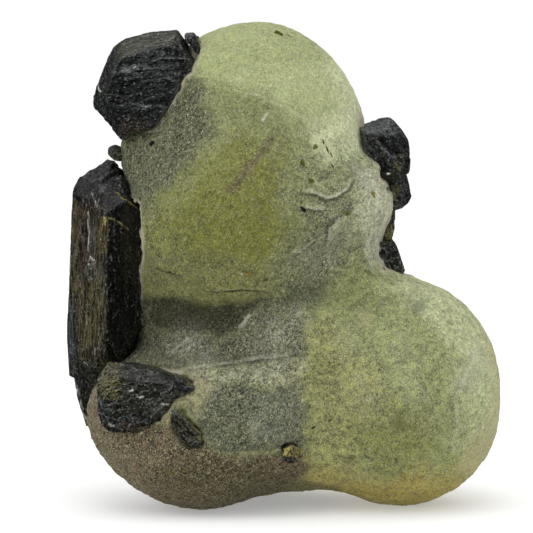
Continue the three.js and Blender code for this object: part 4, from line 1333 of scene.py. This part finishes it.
CRYSTALS = {
    "epidote_upper_left_block": {
        "lean": 80, "stretch": 4.0, "rough": 0.4, "rounds": 2, "grey": 0.15, "olive": 0.0,
        "window": "block", "behind": -0.9,
        "marks": [
            ("moss", 0.9, 0.5, [
                (-13.3, 37.9), (-10.5, 39.2), (-8.6, 39.2), (-8.3, 38.3), (-8.9, 37.9), (-11.2, 37.5),
                (-13.1, 36.7), (-13.6, 37.0),
            ]),
            # A pocket painted dark as shade, and under it a facet painted grey as a highlight
            ("dark", 0.9, 0.2, [(-13.1, 36.5), (-12.3, 36.7), (-11.5, 36.3), (-11.8, 36.1), (-13.0, 36.1)]),
            ("grey", 1.0, 0.2, [(-13.1, 36.1), (-12.6, 36.0), (-11.9, 35.7), (-12.0, 35.5), (-13.1, 35.7)]),
            ("dark", 0.9, 0.3, [(-13.9, 34.0), (-13.1, 33.8), (-12.6, 32.9), (-13.0, 32.6), (-13.8, 33.0)]),
            ("brown", 0.5, 0.4, [
                (-13.3, 31.6), (-12.0, 31.9), (-10.7, 31.7), (-11.1, 30.8), (-12.1, 30.5), (-12.9, 30.0),
            ]),
        ],
        "lines": [
            # Grey lines are painted bluish glints along ridges, and pale ones painted glints
            ("grey", 0.8, 0.16, [(-12.4, 33.1), (-11.5, 33.0), (-10.6, 32.8)]),
            ("grey", 0.7, 0.16, [(-13.8, 35.7), (-12.3, 36.3), (-10.7, 36.0), (-8.5, 36.1)]),
            ("grey", 0.6, 0.14, [(-12.5, 35.3), (-10.7, 35.0), (-8.3, 35.3)]),
            ("grey", 0.5, 0.12, [(-10.9, 34.2), (-9.6, 34.3), (-8.4, 34.0)]),
            ("pale", 0.7, 0.12, [(-15.1, 34.7), (-14.8, 34.0)]),
            ("pale", 0.6, 0.12, [(-12.0, 36.1), (-11.7, 35.9)]),
        ],
    },
    "epidote_upper_left_chip": {
        "lean": -30, "stretch": 2.0, "rough": 0.5, "rounds": 2, "grey": 0.9, "olive": 0.0,
        "marks": [], "lines": [],
    },
    "epidote_tiny_left": {
        "lean": 60, "stretch": 2.0, "rough": 0.3, "rounds": 4, "grey": 1.0, "olive": 0.6,
        "marks": [("moss", 1.0, 0.3, [(-14.4, 29.6), (-12.6, 29.6), (-12.6, 28.2), (-14.4, 28.2)])],
        "lines": [],
    },
    "epidote_left_columns": {
        "lean": 1, "stretch": 8.0, "rough": 0.4, "rounds": 1, "grey": 0.1, "olive": 0.2,
        "marks": [
            ("black", 0.85, 0.4, [(-17.2, 26.6), (-14.5, 29.0), (-12.6, 27.6), (-11.8, 25.0), (-17.2, 24.4)]),
            # Grey painted sheen on the rear crystal's top slope, a facet painted grey as a highlight, and
            # grey painted glints on the ridge
            ("grey", 0.15, 0.4, [(-16.6, 26.8), (-14.5, 28.6), (-14.1, 27.6), (-15.3, 27.0), (-16.3, 26.3)]),
            ("grey", 1.0, 0.2, [(-15.0, 26.3), (-14.4, 26.4), (-14.4, 26.0), (-14.9, 25.8)]),
            ("grey", 0.2, 0.3, [(-15.8, 25.7), (-15.1, 26.0), (-14.9, 24.8), (-15.7, 24.8)]),
            ("grey", 0.5, 0.25, [(-15.8, 23.0), (-15.2, 23.0), (-15.1, 20.2), (-15.8, 20.4)]),
            ("olive", 0.7, 0.3, [(-15.0, 24.0), (-14.1, 23.9), (-14.2, 21.1), (-15.0, 21.0)]),
            ("brown", 0.5, 0.5, [(-17.4, 25.0), (-14.4, 25.0), (-14.4, 12.5), (-16.9, 12.5)]),
            ("brown", 0.9, 0.25, [(-16.7, 24.3), (-16.1, 24.4), (-16.0, 19.7), (-16.6, 19.5)]),
            ("olive", 0.25, 0.3, [(-17.9, 25.0), (-16.7, 25.0), (-16.7, 16.8), (-17.9, 16.8)]),
            ("moss", 0.9, 0.5, [(-16.3, 20.2), (-14.9, 20.2), (-14.6, 19.1), (-16.2, 18.7)]),
            ("olive", 0.3, 0.6, [(-16.3, 18.7), (-14.3, 19.1), (-14.6, 13.8), (-16.0, 13.4)]),
            ("olive", 0.25, 0.5, [(-17.0, 17.9), (-16.2, 18.2), (-15.7, 13.7), (-15.9, 11.7), (-16.6, 11.6)]),
            ("grey", 0.3, 0.25, [(-18.0, 16.8), (-17.1, 16.8), (-17.0, 10.5), (-17.8, 10.5)]),
            ("black", 1.0, 0.4, [(-14.1, 25.0), (-11.0, 25.0), (-11.0, 12.0), (-14.4, 12.0)]),
        ],
        "lines": [
            # Grey and pale lines are painted glints along the tops, ridges and edges
            ("grey", 0.9, 0.08, [(-16.6, 27.5), (-15.6, 28.0), (-14.9, 28.4)]),
            ("grey", 1.0, 0.08, [(-15.8, 26.5), (-14.9, 26.8), (-13.7, 27.6)]),
            ("grey", 1.0, 0.08, [(-13.6, 27.3), (-13.2, 26.4), (-12.8, 25.6)]),
            ("pale", 0.4, 0.08, [(-15.6, 25.7), (-15.2, 25.1), (-15.1, 24.6)]),
            ("yellow", 0.5, 0.08, [(-13.5, 25.8), (-12.6, 25.2), (-11.7, 24.5)]),
            ("yellow", 0.5, 0.08, [(-14.1, 23.9), (-13.3, 23.6), (-12.5, 23.0)]),
            ("yellow", 0.8, 0.16, [(-14.5, 23.9), (-14.4, 23.4)]),
            ("pale", 0.4, 0.10, [(-15.9, 24.2), (-15.8, 22.6), (-15.9, 21.0)]),
            ("pale", 0.5, 0.12, [(-17.5, 24.6), (-17.6, 21.0), (-17.6, 17.5)]),
            ("pale", 0.7, 0.12, [(-15.9, 20.0), (-15.7, 20.6), (-15.3, 20.3)]),
            ("pale", 0.8, 0.14, [(-16.2, 11.9), (-16.0, 11.7)]),
            ("pale", 0.4, 0.12, [(-17.4, 10.2), (-16.7, 8.8), (-16.3, 6.9)]),
        ],
    },
    "epidote_lower_left_stub": {
        "lean": 76, "stretch": 2.6, "rough": 0.9, "rounds": 2, "grey": 0.4, "olive": 0.1,
        "marks": [
            ("olive", 0.5, 0.6, [(-14.9, 11.4), (-14.0, 12.6), (-13.0, 12.3), (-13.0, 10.1), (-14.3, 9.5)]),
            ("dark", 0.6, 0.5, [(-14.9, 10.1), (-13.7, 9.7), (-12.9, 8.1), (-14.3, 7.9)]),
            ("dark", 0.7, 0.5, [(-12.8, 12.2), (-9.6, 12.0), (-9.6, 11.2), (-12.4, 11.4)]),
            ("black", 0.8, 0.3, [(-9.6, 12.0), (-7.9, 11.6), (-7.4, 11.3), (-7.9, 11.0), (-9.4, 11.2)]),
            ("olive", 0.8, 0.2, [(-7.7, 11.6), (-7.0, 11.3), (-7.2, 10.9), (-7.7, 10.9)]),
            ("brown", 0.8, 0.3, [(-13.0, 8.0), (-11.0, 7.8), (-11.0, 7.2), (-13.0, 7.3)]),
        ],
        "lines": [
            # Pale lines are painted glints, and the grey one a painted highlight on the left edge
            ("pale", 0.8, 0.13, [(-12.5, 10.6), (-12.0, 10.6)]),
            ("pale", 0.7, 0.12, [(-11.6, 10.1), (-11.1, 10.0)]),
            ("pale", 0.7, 0.12, [(-9.6, 9.5), (-9.2, 9.4)]),
            ("pale", 0.5, 0.12, [(-13.9, 7.8), (-13.5, 7.7)]),
            ("grey", 0.8, 0.15, [(-14.6, 9.8), (-14.5, 8.4)]),
        ],
    },
    "epidote_lower_left_rod": {
        "lean": -38, "stretch": 4.0, "rough": 0.6, "rounds": 1, "grey": 0.1, "olive": 0.45, "marks": [],
        "lines": [
            ("olive", 0.6, 0.35, [(-8.4, 9.1), (-7.4, 8.3), (-6.8, 7.4), (-6.5, 6.8)]),
            ("dark", 0.8, 0.3, [(-7.3, 6.4), (-6.7, 6.2)]),
        ],
    },
    "epidote_right_block": {
        "lean": -50, "stretch": 3.0, "rough": 0.35, "rounds": 2, "grey": 0.3, "olive": 0.0,
        "window": "right", "behind": -0.6,
        "marks": [
            # A grey top face painted as sheen, and a pocket painted black as shade
            ("grey", 0.5, 0.4, [
                (6.2, 31.2), (8.6, 31.9), (9.5, 30.8), (9.1, 30.3), (8.2, 30.6), (6.9, 30.4),
            ]),
            ("olive", 0.35, 0.5, [(9.1, 29.1), (9.7, 28.8), (9.6, 27.5), (9.0, 27.6)]),
            ("olive", 0.45, 0.5, [(8.6, 26.5), (9.4, 26.5), (9.5, 25.5), (8.9, 25.1)]),
            ("black", 1.0, 0.4, [(7.2, 28.1), (8.3, 28.3), (9.3, 27.4), (9.1, 26.4), (7.8, 26.3)]),
        ],
        "lines": [
            # Black lines are grooves painted as shade, the grey line a painted highlight beside them and the
            # pale one a painted glint
            ("black", 1.0, 0.22, [(7.2, 30.1), (7.8, 29.1), (8.8, 28.3)]),
            ("black", 1.0, 0.22, [(7.8, 30.3), (8.5, 29.5), (9.3, 29.1)]),
            ("grey", 0.9, 0.16, [(7.5, 30.3), (8.1, 29.4), (9.0, 28.7)]),
            ("pale", 0.9, 0.13, [(8.4, 27.3), (8.6, 27.3)]),
        ],
    },
    "epidote_right_ridge": {
        "lean": -6, "stretch": 2.0, "rough": 0.8, "rounds": 2, "grey": 0.5, "olive": 0.15,
        "reach": (23.0, 0.5),
        "marks": [("olive", 0.7, 0.4, [(8.3, 23.2), (9.2, 23.0), (9.0, 21.8), (8.1, 21.6)])], "lines": [],
    },
    "epidote_base_grain": {
        "lean": 0, "stretch": 1.5, "rough": 0.3, "rounds": 1, "grey": 0.0, "olive": 1.0,
        "marks": [
            ("olive", 1.0, 0.4, [(-0.3, 6.2), (1.4, 6.2), (1.5, 5.0), (-0.2, 5.1)]),
            ("yellow", 0.55, 0.4, [(-0.2, 6.1), (0.5, 6.1), (0.4, 5.2), (-0.2, 5.3)]),
        ],
        "lines": [],
    },
}


def crystal_colours(points, normals, turned, traits):
    """Each vertex's colour: dark, with drawn-out grey and olive, and the crystal's marks and lines."""
    settings = bpy.context.scene.epidote_settings
    stretch = traits["stretch"]
    tint = np.tile(np.array(settings.dark, float), (len(points), 1))
    for name, size, seed in PATCHES:
        patches = fade(fractal(turned, (size, size, size * stretch), seed, 3), *PATCH_EDGE)
        paint(tint, getattr(settings, name), traits[name] * patches)
    front = fade(-normals[:, 1], *MARK_FADE)
    spots = points[:, [0, 2]] + MARK_WARP * warp(points, "marks")
    for name, cover, soft, outline in traits["marks"]:
        share = front * fade(-outline_distance(spots, outline), -soft / 2, soft / 2)
        paint(tint, getattr(settings, name), cover * share)
    for name, cover, width, line in traits["lines"]:
        share = front * fade(-np.abs(line_distance(spots, line)[0]), -width, 0)
        paint(tint, getattr(settings, name), cover * share)
    return tint


def epidote_piece(node, faces):
    """One crystal with its ridges and colours."""
    settings = bpy.context.scene.epidote_settings
    traits = CRYSTALS[node]
    mesh = crystal_mesh(node, settings.voxel)
    points, edges, degree = mesh_arrays(mesh)
    for _ in range(traits["rounds"]):
        points = eased(points, edges, degree)
    normals = mesh_normals(mesh, points)
    turned = along_axis(points, traits["lean"])
    height = crystal_relief(turned, traits["stretch"], traits["rough"])
    points = points + normals * height[:, None]
    if "window" in traits:
        outside = outline_distance(points[:, [0, 2]], WINDOWS[traits["window"]]["outline"])
        pushed = np.maximum(points[:, 1], traits["behind"])
        points[:, 1] += (pushed - points[:, 1]) * fade(outside, *WINDOW_REST)
    if "reach" in traits:
        start, growth = traits["reach"]
        points[:, 2] += growth * fade(points[:, 2], start, points[:, 2].max())
    low, high = (np.array(corner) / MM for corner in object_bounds())
    points = np.clip(points, low, high)
    normals = mesh_normals(mesh, points)
    inwards = ((neighbour_mean(points, edges, degree) - points) * normals).sum(axis=1) * MM / settings.voxel
    write_tint(mesh, crystal_colours(points, normals, turned, traits))
    # Convex edges are painted lighter as highlights and pits darker as shade by these masks
    write_mask(mesh, "edge", fade(-inwards, *CORNER_RANGE))
    write_mask(mesh, "pit", fade(inwards, *CORNER_RANGE))
    name = node.replace("epidote_", "") + "_visual"
    add_piece(name, mesh, epidote_material(name, traits, faces), [node])


def crystal_faces(tree, given):
    """Fine striae along a crystal, painted highlights on edges, painted shade in pits, and pale painted
    glints.
    """
    settings = bpy.context.scene.epidote_settings
    striae, glint_noise, flecks = (noise(tree, given[name], *values) for name, values in FACE_NOISES.items())
    edge, pit = given["Edge"], given["Pit"]
    glint_strength = tree.nodes.new("ShaderNodeSeparateColor")
    tree.links.new(given["Tint"], glint_strength.inputs[0])
    glint_strength = ranged(tree, glint_strength.outputs[0], settings.black[0], settings.dark[0], BLACK_GLINTS, 1.0)
    # Pits painted darker as shade and edges painted lighter as highlights
    pit_shade = ranged(tree, pit, 0.0, 1.0, 1.0, PIT_SHADE_TONE)
    edge_light = ranged(tree, edge, 0.0, 1.0, 1.0, EDGE_HIGHLIGHT_TONE)
    factor = product(tree, ranged(tree, striae, *STRIAE_TONES), pit_shade, edge_light)
    colour = scaled_colour(tree, given["Tint"], factor)
    # Pale painted highlights on the edges, and pale painted glints drawn out along the crystal
    edge_highlight = product(tree, edge, ranged(tree, flecks, *EDGE_HIGHLIGHT_RANGE), EDGE_HIGHLIGHT_SHARE)
    colour = mixed(tree, edge_highlight, colour, settings.pale)
    glint_lines = product(tree, ranged(tree, glint_noise, *GLINT_RANGE), glint_strength, ranged(tree, flecks, *GLINT_FLECKS))
    return {
        "Color": mixed(tree, glint_lines, colour, settings.pale),
        "Roughness": ranged(tree, flecks, *FACE_ROUGHNESS),
        "Normal": bump(tree, flecks, *FLECK_BUMP, bump(tree, striae, *STRIAE_BUMP)),
    }


def epidote_material(name, traits, faces):
    """Glossy near-black crystal: painted colours under the faces' striae, painted glints, highlights and
    shade.
    """
    material, tree, shader = new_material(name, EPIDOTE_FINISH)
    turn = (0.0, math.radians(traits["lean"]), 0.0)
    outputs = placed_group(tree, faces, {
        "Striae": place(tree, (1.0, 1.0, traits["stretch"]), turn),
        "Glints": place(tree, (1.0, 1.0, traits["stretch"] * GLINT_STRETCH), turn),
        "Flecks": place(tree),
        "Tint": mask(tree, "tint", "Color"), "Edge": mask(tree, "edge"), "Pit": mask(tree, "pit"),
    })
    for socket, output in (("Base Color", "Color"), ("Roughness", "Roughness"), ("Normal", "Normal")):
        tree.links.new(outputs[output], shader.inputs[socket])
    return material


class OBJECT_OT_epidote_crystals(bpy.types.Operator):
    """Build every epidote crystal that the CAD model has"""

    bl_idname = "object.epidote_crystals"
    bl_label = "Epidote crystals"

    def execute(self, context):
        inputs = {"Striae": "Vector", "Glints": "Vector", "Flecks": "Vector"}
        inputs.update({"Tint": "Color", "Edge": "Float", "Pit": "Float"})
        outputs = {"Color": "Color", "Roughness": "Float", "Normal": "Vector"}
        faces = new_group("crystal faces", inputs, outputs, crystal_faces)
        for node in CRYSTALS:
            epidote_piece(node, faces)
        return {"FINISHED"}


# Grains


def surface_finder():
    """A function that gives the place and the normal of the prehnite's front at an X and Z in millimetres."""
    mesh = bpy.data.objects["prehnite_visual"].data
    points, _, _ = mesh_arrays(mesh)
    normals = mesh_normals(mesh, points)
    front = normals[:, 1] < GRAIN_GROUND
    points, normals = points[front], normals[front]

    def find(x, z):
        nearest = np.argmin((points[:, 0] - x) ** 2 + (points[:, 2] - z) ** 2)
        return points[nearest], normals[nearest]

    return find


def grain_mesh(name, places):
    """Small rounded grains, each sunk by half into the surface."""
    find = surface_finder()
    depth, size, seed = GRAIN_LUMPS
    shape = bmesh.new()
    for x, z, across, along, turn in places:
        centre, normal = find(x, z)
        made = bmesh.ops.create_icosphere(shape, subdivisions=3, radius=0.5)["verts"]
        unit = np.array([vertex.co for vertex in made])
        unit = unit * (1 + depth * smooth_noise(unit + x, size, seed)[:, None])
        angle = math.radians(turn)
        side = np.array([math.cos(angle), 0.0, -math.sin(angle)]) * across
        ahead = np.array([math.sin(angle), 0.0, math.cos(angle)]) * along
        axes = np.stack([side, normal * -GRAIN_HEIGHT * across, ahead])
        placed = centre + unit @ axes
        for vertex, spot in zip(made, placed):
            vertex.co = spot * MM
    bmesh.ops.recalc_face_normals(shape, faces=shape.faces[:])
    mesh = bpy.data.meshes.new(name)
    shape.to_mesh(mesh)
    shape.free()
    return mesh


def mottle(tree, given):
    """A colour made uneven by lumps of noise."""
    factor = ranged(tree, noise(tree, given["Place"], MOTTLE_SIZE, 3.0), *MOTTLE)
    return {"Color": scaled_colour(tree, given["Color"], factor)}


def grain_material(name, colour, rough, mottled):
    """A small grain's finish."""
    material, tree, shader = new_material(name, {"Roughness": rough})
    outputs = placed_group(tree, mottled, {"Place": place(tree), "Color": colour})
    tree.links.new(outputs["Color"], shader.inputs["Base Color"])
    return material


class OBJECT_OT_prehnite_grains(bpy.types.Operator):
    """Build the small grains and the dark needle on the prehnite"""

    bl_idname = "object.prehnite_grains"
    bl_label = "Grains"

    def execute(self, context):
        settings = context.scene.epidote_settings
        mottled = new_group("mottle", {"Place": "Vector", "Color": "Color"}, {"Color": "Color"}, mottle)
        for name, places in GRAINS.items():
            colour = getattr(settings, name + "_grain")
            material = grain_material(name + "_grain", colour, GRAIN_ROUGHNESS, mottled)
            add_piece(name + "_grains", grain_mesh(name + "_grains", places), material)
        steps = [(x, z, *NEEDLE_GRAIN) for x, z in NEEDLE]
        material = grain_material("needle", settings.black_grain, NEEDLE_ROUGHNESS, mottled)
        add_piece("dark_needle", grain_mesh("dark_needle", steps), material)
        return {"FINISHED"}


# Stage: each light's place and side in metres, where they aim, and the world's light by height as seen by
# matt and by glossy surfaces

LIGHTS = {"top_light": ((-0.03, -0.10, 0.32), 0.22), "left_light": ((-0.28, -0.06, 0.16), 0.16)}
LIGHT_AIM = (0.0, 0.0, 0.02)
MATT_SKY = (-0.2, 0.9, 0.45, 1.0)
GLOSSY_SKY = (0.35, 0.8, 0.02, 0.4)
FLOOR_HALF = 2.0
FLOOR_FINISH = {"Roughness": 0.9, "Specular IOR Level": 0.0, "Emission Strength": 0.3}
SENSOR_WIDTH = 36.0
CLIP = (0.01, 10.0)
WHITE = (1.0, 1.0, 1.0)
BLACK = (0.0, 0.0, 0.0)
FLOOR_IN_GLOSS = (0.02, 0.02, 0.02)


def softbox(name, place_at, aim, side, radiance):
    """A square light that faces a point. Its power follows from its radiance and its size."""
    light = bpy.data.lights.new(name, "AREA")
    light.shape = "SQUARE"
    light.size = side
    light.energy = radiance * math.pi * side * side
    lamp = bpy.data.objects.new(name, light)
    lamp.location = place_at
    lamp.rotation_euler = (Vector(aim) - Vector(place_at)).to_track_quat("-Z", "Y").to_euler()
    bpy.context.scene.collection.objects.link(lamp)


def surroundings():
    """White for the camera, even light from all round for the surfaces, and mostly dark in their gloss."""
    world = bpy.data.worlds.new("surroundings")
    world.use_nodes = True
    bpy.context.scene.world = world
    tree = world.node_tree
    tree.nodes.clear()
    coordinates = tree.nodes.new("ShaderNodeTexCoord")
    parts = tree.nodes.new("ShaderNodeSeparateXYZ")
    tree.links.new(coordinates.outputs["Generated"], parts.inputs[0])
    above = ranged(tree, parts.outputs[2], *MATT_SKY)
    overhead = ranged(tree, parts.outputs[2], *GLOSSY_SKY)
    path = tree.nodes.new("ShaderNodeLightPath")
    light = mixed(tree, path.outputs["Is Glossy Ray"], above, overhead)
    seen = mixed(tree, path.outputs["Is Camera Ray"], light, WHITE)
    background = tree.nodes.new("ShaderNodeBackground")
    output = tree.nodes.new("ShaderNodeOutputWorld")
    tree.links.new(seen, background.inputs["Color"])
    tree.links.new(background.outputs[0], output.inputs[0])


def add_floor(colour):
    """A matt, slightly glowing floor that is dark in glossy surfaces."""
    shape = bmesh.new()
    bmesh.ops.create_grid(shape, x_segments=1, y_segments=1, size=FLOOR_HALF)
    mesh = bpy.data.meshes.new("floor")
    shape.to_mesh(mesh)
    shape.free()
    material, tree, shader = new_material("floor", FLOOR_FINISH)
    glossy = tree.nodes.new("ShaderNodeLightPath").outputs["Is Glossy Ray"]
    feed(tree, shader.inputs["Base Color"], mixed(tree, glossy, colour, FLOOR_IN_GLOSS))
    feed(tree, shader.inputs["Emission Color"], mixed(tree, glossy, WHITE, BLACK))
    mesh.materials.append(material)
    floor = bpy.data.objects.new("floor", mesh)
    bpy.context.scene.collection.objects.link(floor)
    floor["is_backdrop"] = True


def add_camera(settings):
    """The camera, which looks down a little at its target."""
    back = np.array([0.0, -math.cos(settings.rise), math.sin(settings.rise)])
    data = bpy.data.cameras.new("camera")
    data.lens = settings.lens
    data.sensor_width = SENSOR_WIDTH
    data.clip_start, data.clip_end = CLIP
    camera = bpy.data.objects.new("camera", data)
    camera.location = np.array(settings.target) + back * settings.distance
    camera.rotation_euler = (math.pi / 2 - settings.rise, 0.0, 0.0)
    bpy.context.scene.collection.objects.link(camera)
    bpy.context.scene.camera = camera


class OBJECT_OT_prehnite_stage(bpy.types.Operator):
    """Set up the floor, the light and the camera"""

    bl_idname = "object.prehnite_stage"
    bl_label = "Stage"

    def execute(self, context):
        settings = context.scene.stage_settings
        add_floor(settings.floor)
        surroundings()
        for name, (spot, side) in LIGHTS.items():
            softbox(name, spot, LIGHT_AIM, side, getattr(settings, name))
        add_camera(settings)
        context.scene.view_settings.view_transform = "Standard"
        return {"FINISHED"}


class VIEW3D_PT_prehnite(bpy.types.Panel):
    """Buttons that build the specimen"""

    bl_label = "Prehnite with epidote"
    bl_idname = "VIEW3D_PT_prehnite"
    bl_space_type = "VIEW_3D"
    bl_region_type = "UI"
    bl_category = "Prehnite"

    def draw(self, context):
        for group, operators in PANEL_ROWS.items():
            box = self.layout.box()
            for name in getattr(context.scene, group).__annotations__:
                box.prop(getattr(context.scene, group), name)
            for operator in operators:
                box.operator(operator)


PANEL_ROWS = {
    "prehnite_settings": ["object.prehnite_mass", "object.prehnite_grains"],
    "epidote_settings": ["object.epidote_crystals"],
    "stage_settings": ["object.prehnite_stage"],
}
SETTINGS = {
    "prehnite_settings": PrehniteSettings,
    "epidote_settings": EpidoteSettings,
    "stage_settings": StageSettings,
}
CLASSES = (
    *SETTINGS.values(), OBJECT_OT_prehnite_mass, OBJECT_OT_epidote_crystals, OBJECT_OT_prehnite_grains,
    OBJECT_OT_prehnite_stage, VIEW3D_PT_prehnite,
)


def register():
    for kind in CLASSES:
        bpy.utils.register_class(kind)
    for name, kind in SETTINGS.items():
        setattr(bpy.types.Scene, name, bpy.props.PointerProperty(type=kind))


def unregister():
    for name in SETTINGS:
        delattr(bpy.types.Scene, name)
    for kind in reversed(CLASSES):
        bpy.utils.unregister_class(kind)


def main():
    """Builds everything in order."""
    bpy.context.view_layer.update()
    register()
    bpy.ops.object.prehnite_mass()
    bpy.ops.object.epidote_crystals()
    bpy.ops.object.prehnite_grains()
    bpy.ops.object.prehnite_stage()


if __name__ == "__main__":
    main()
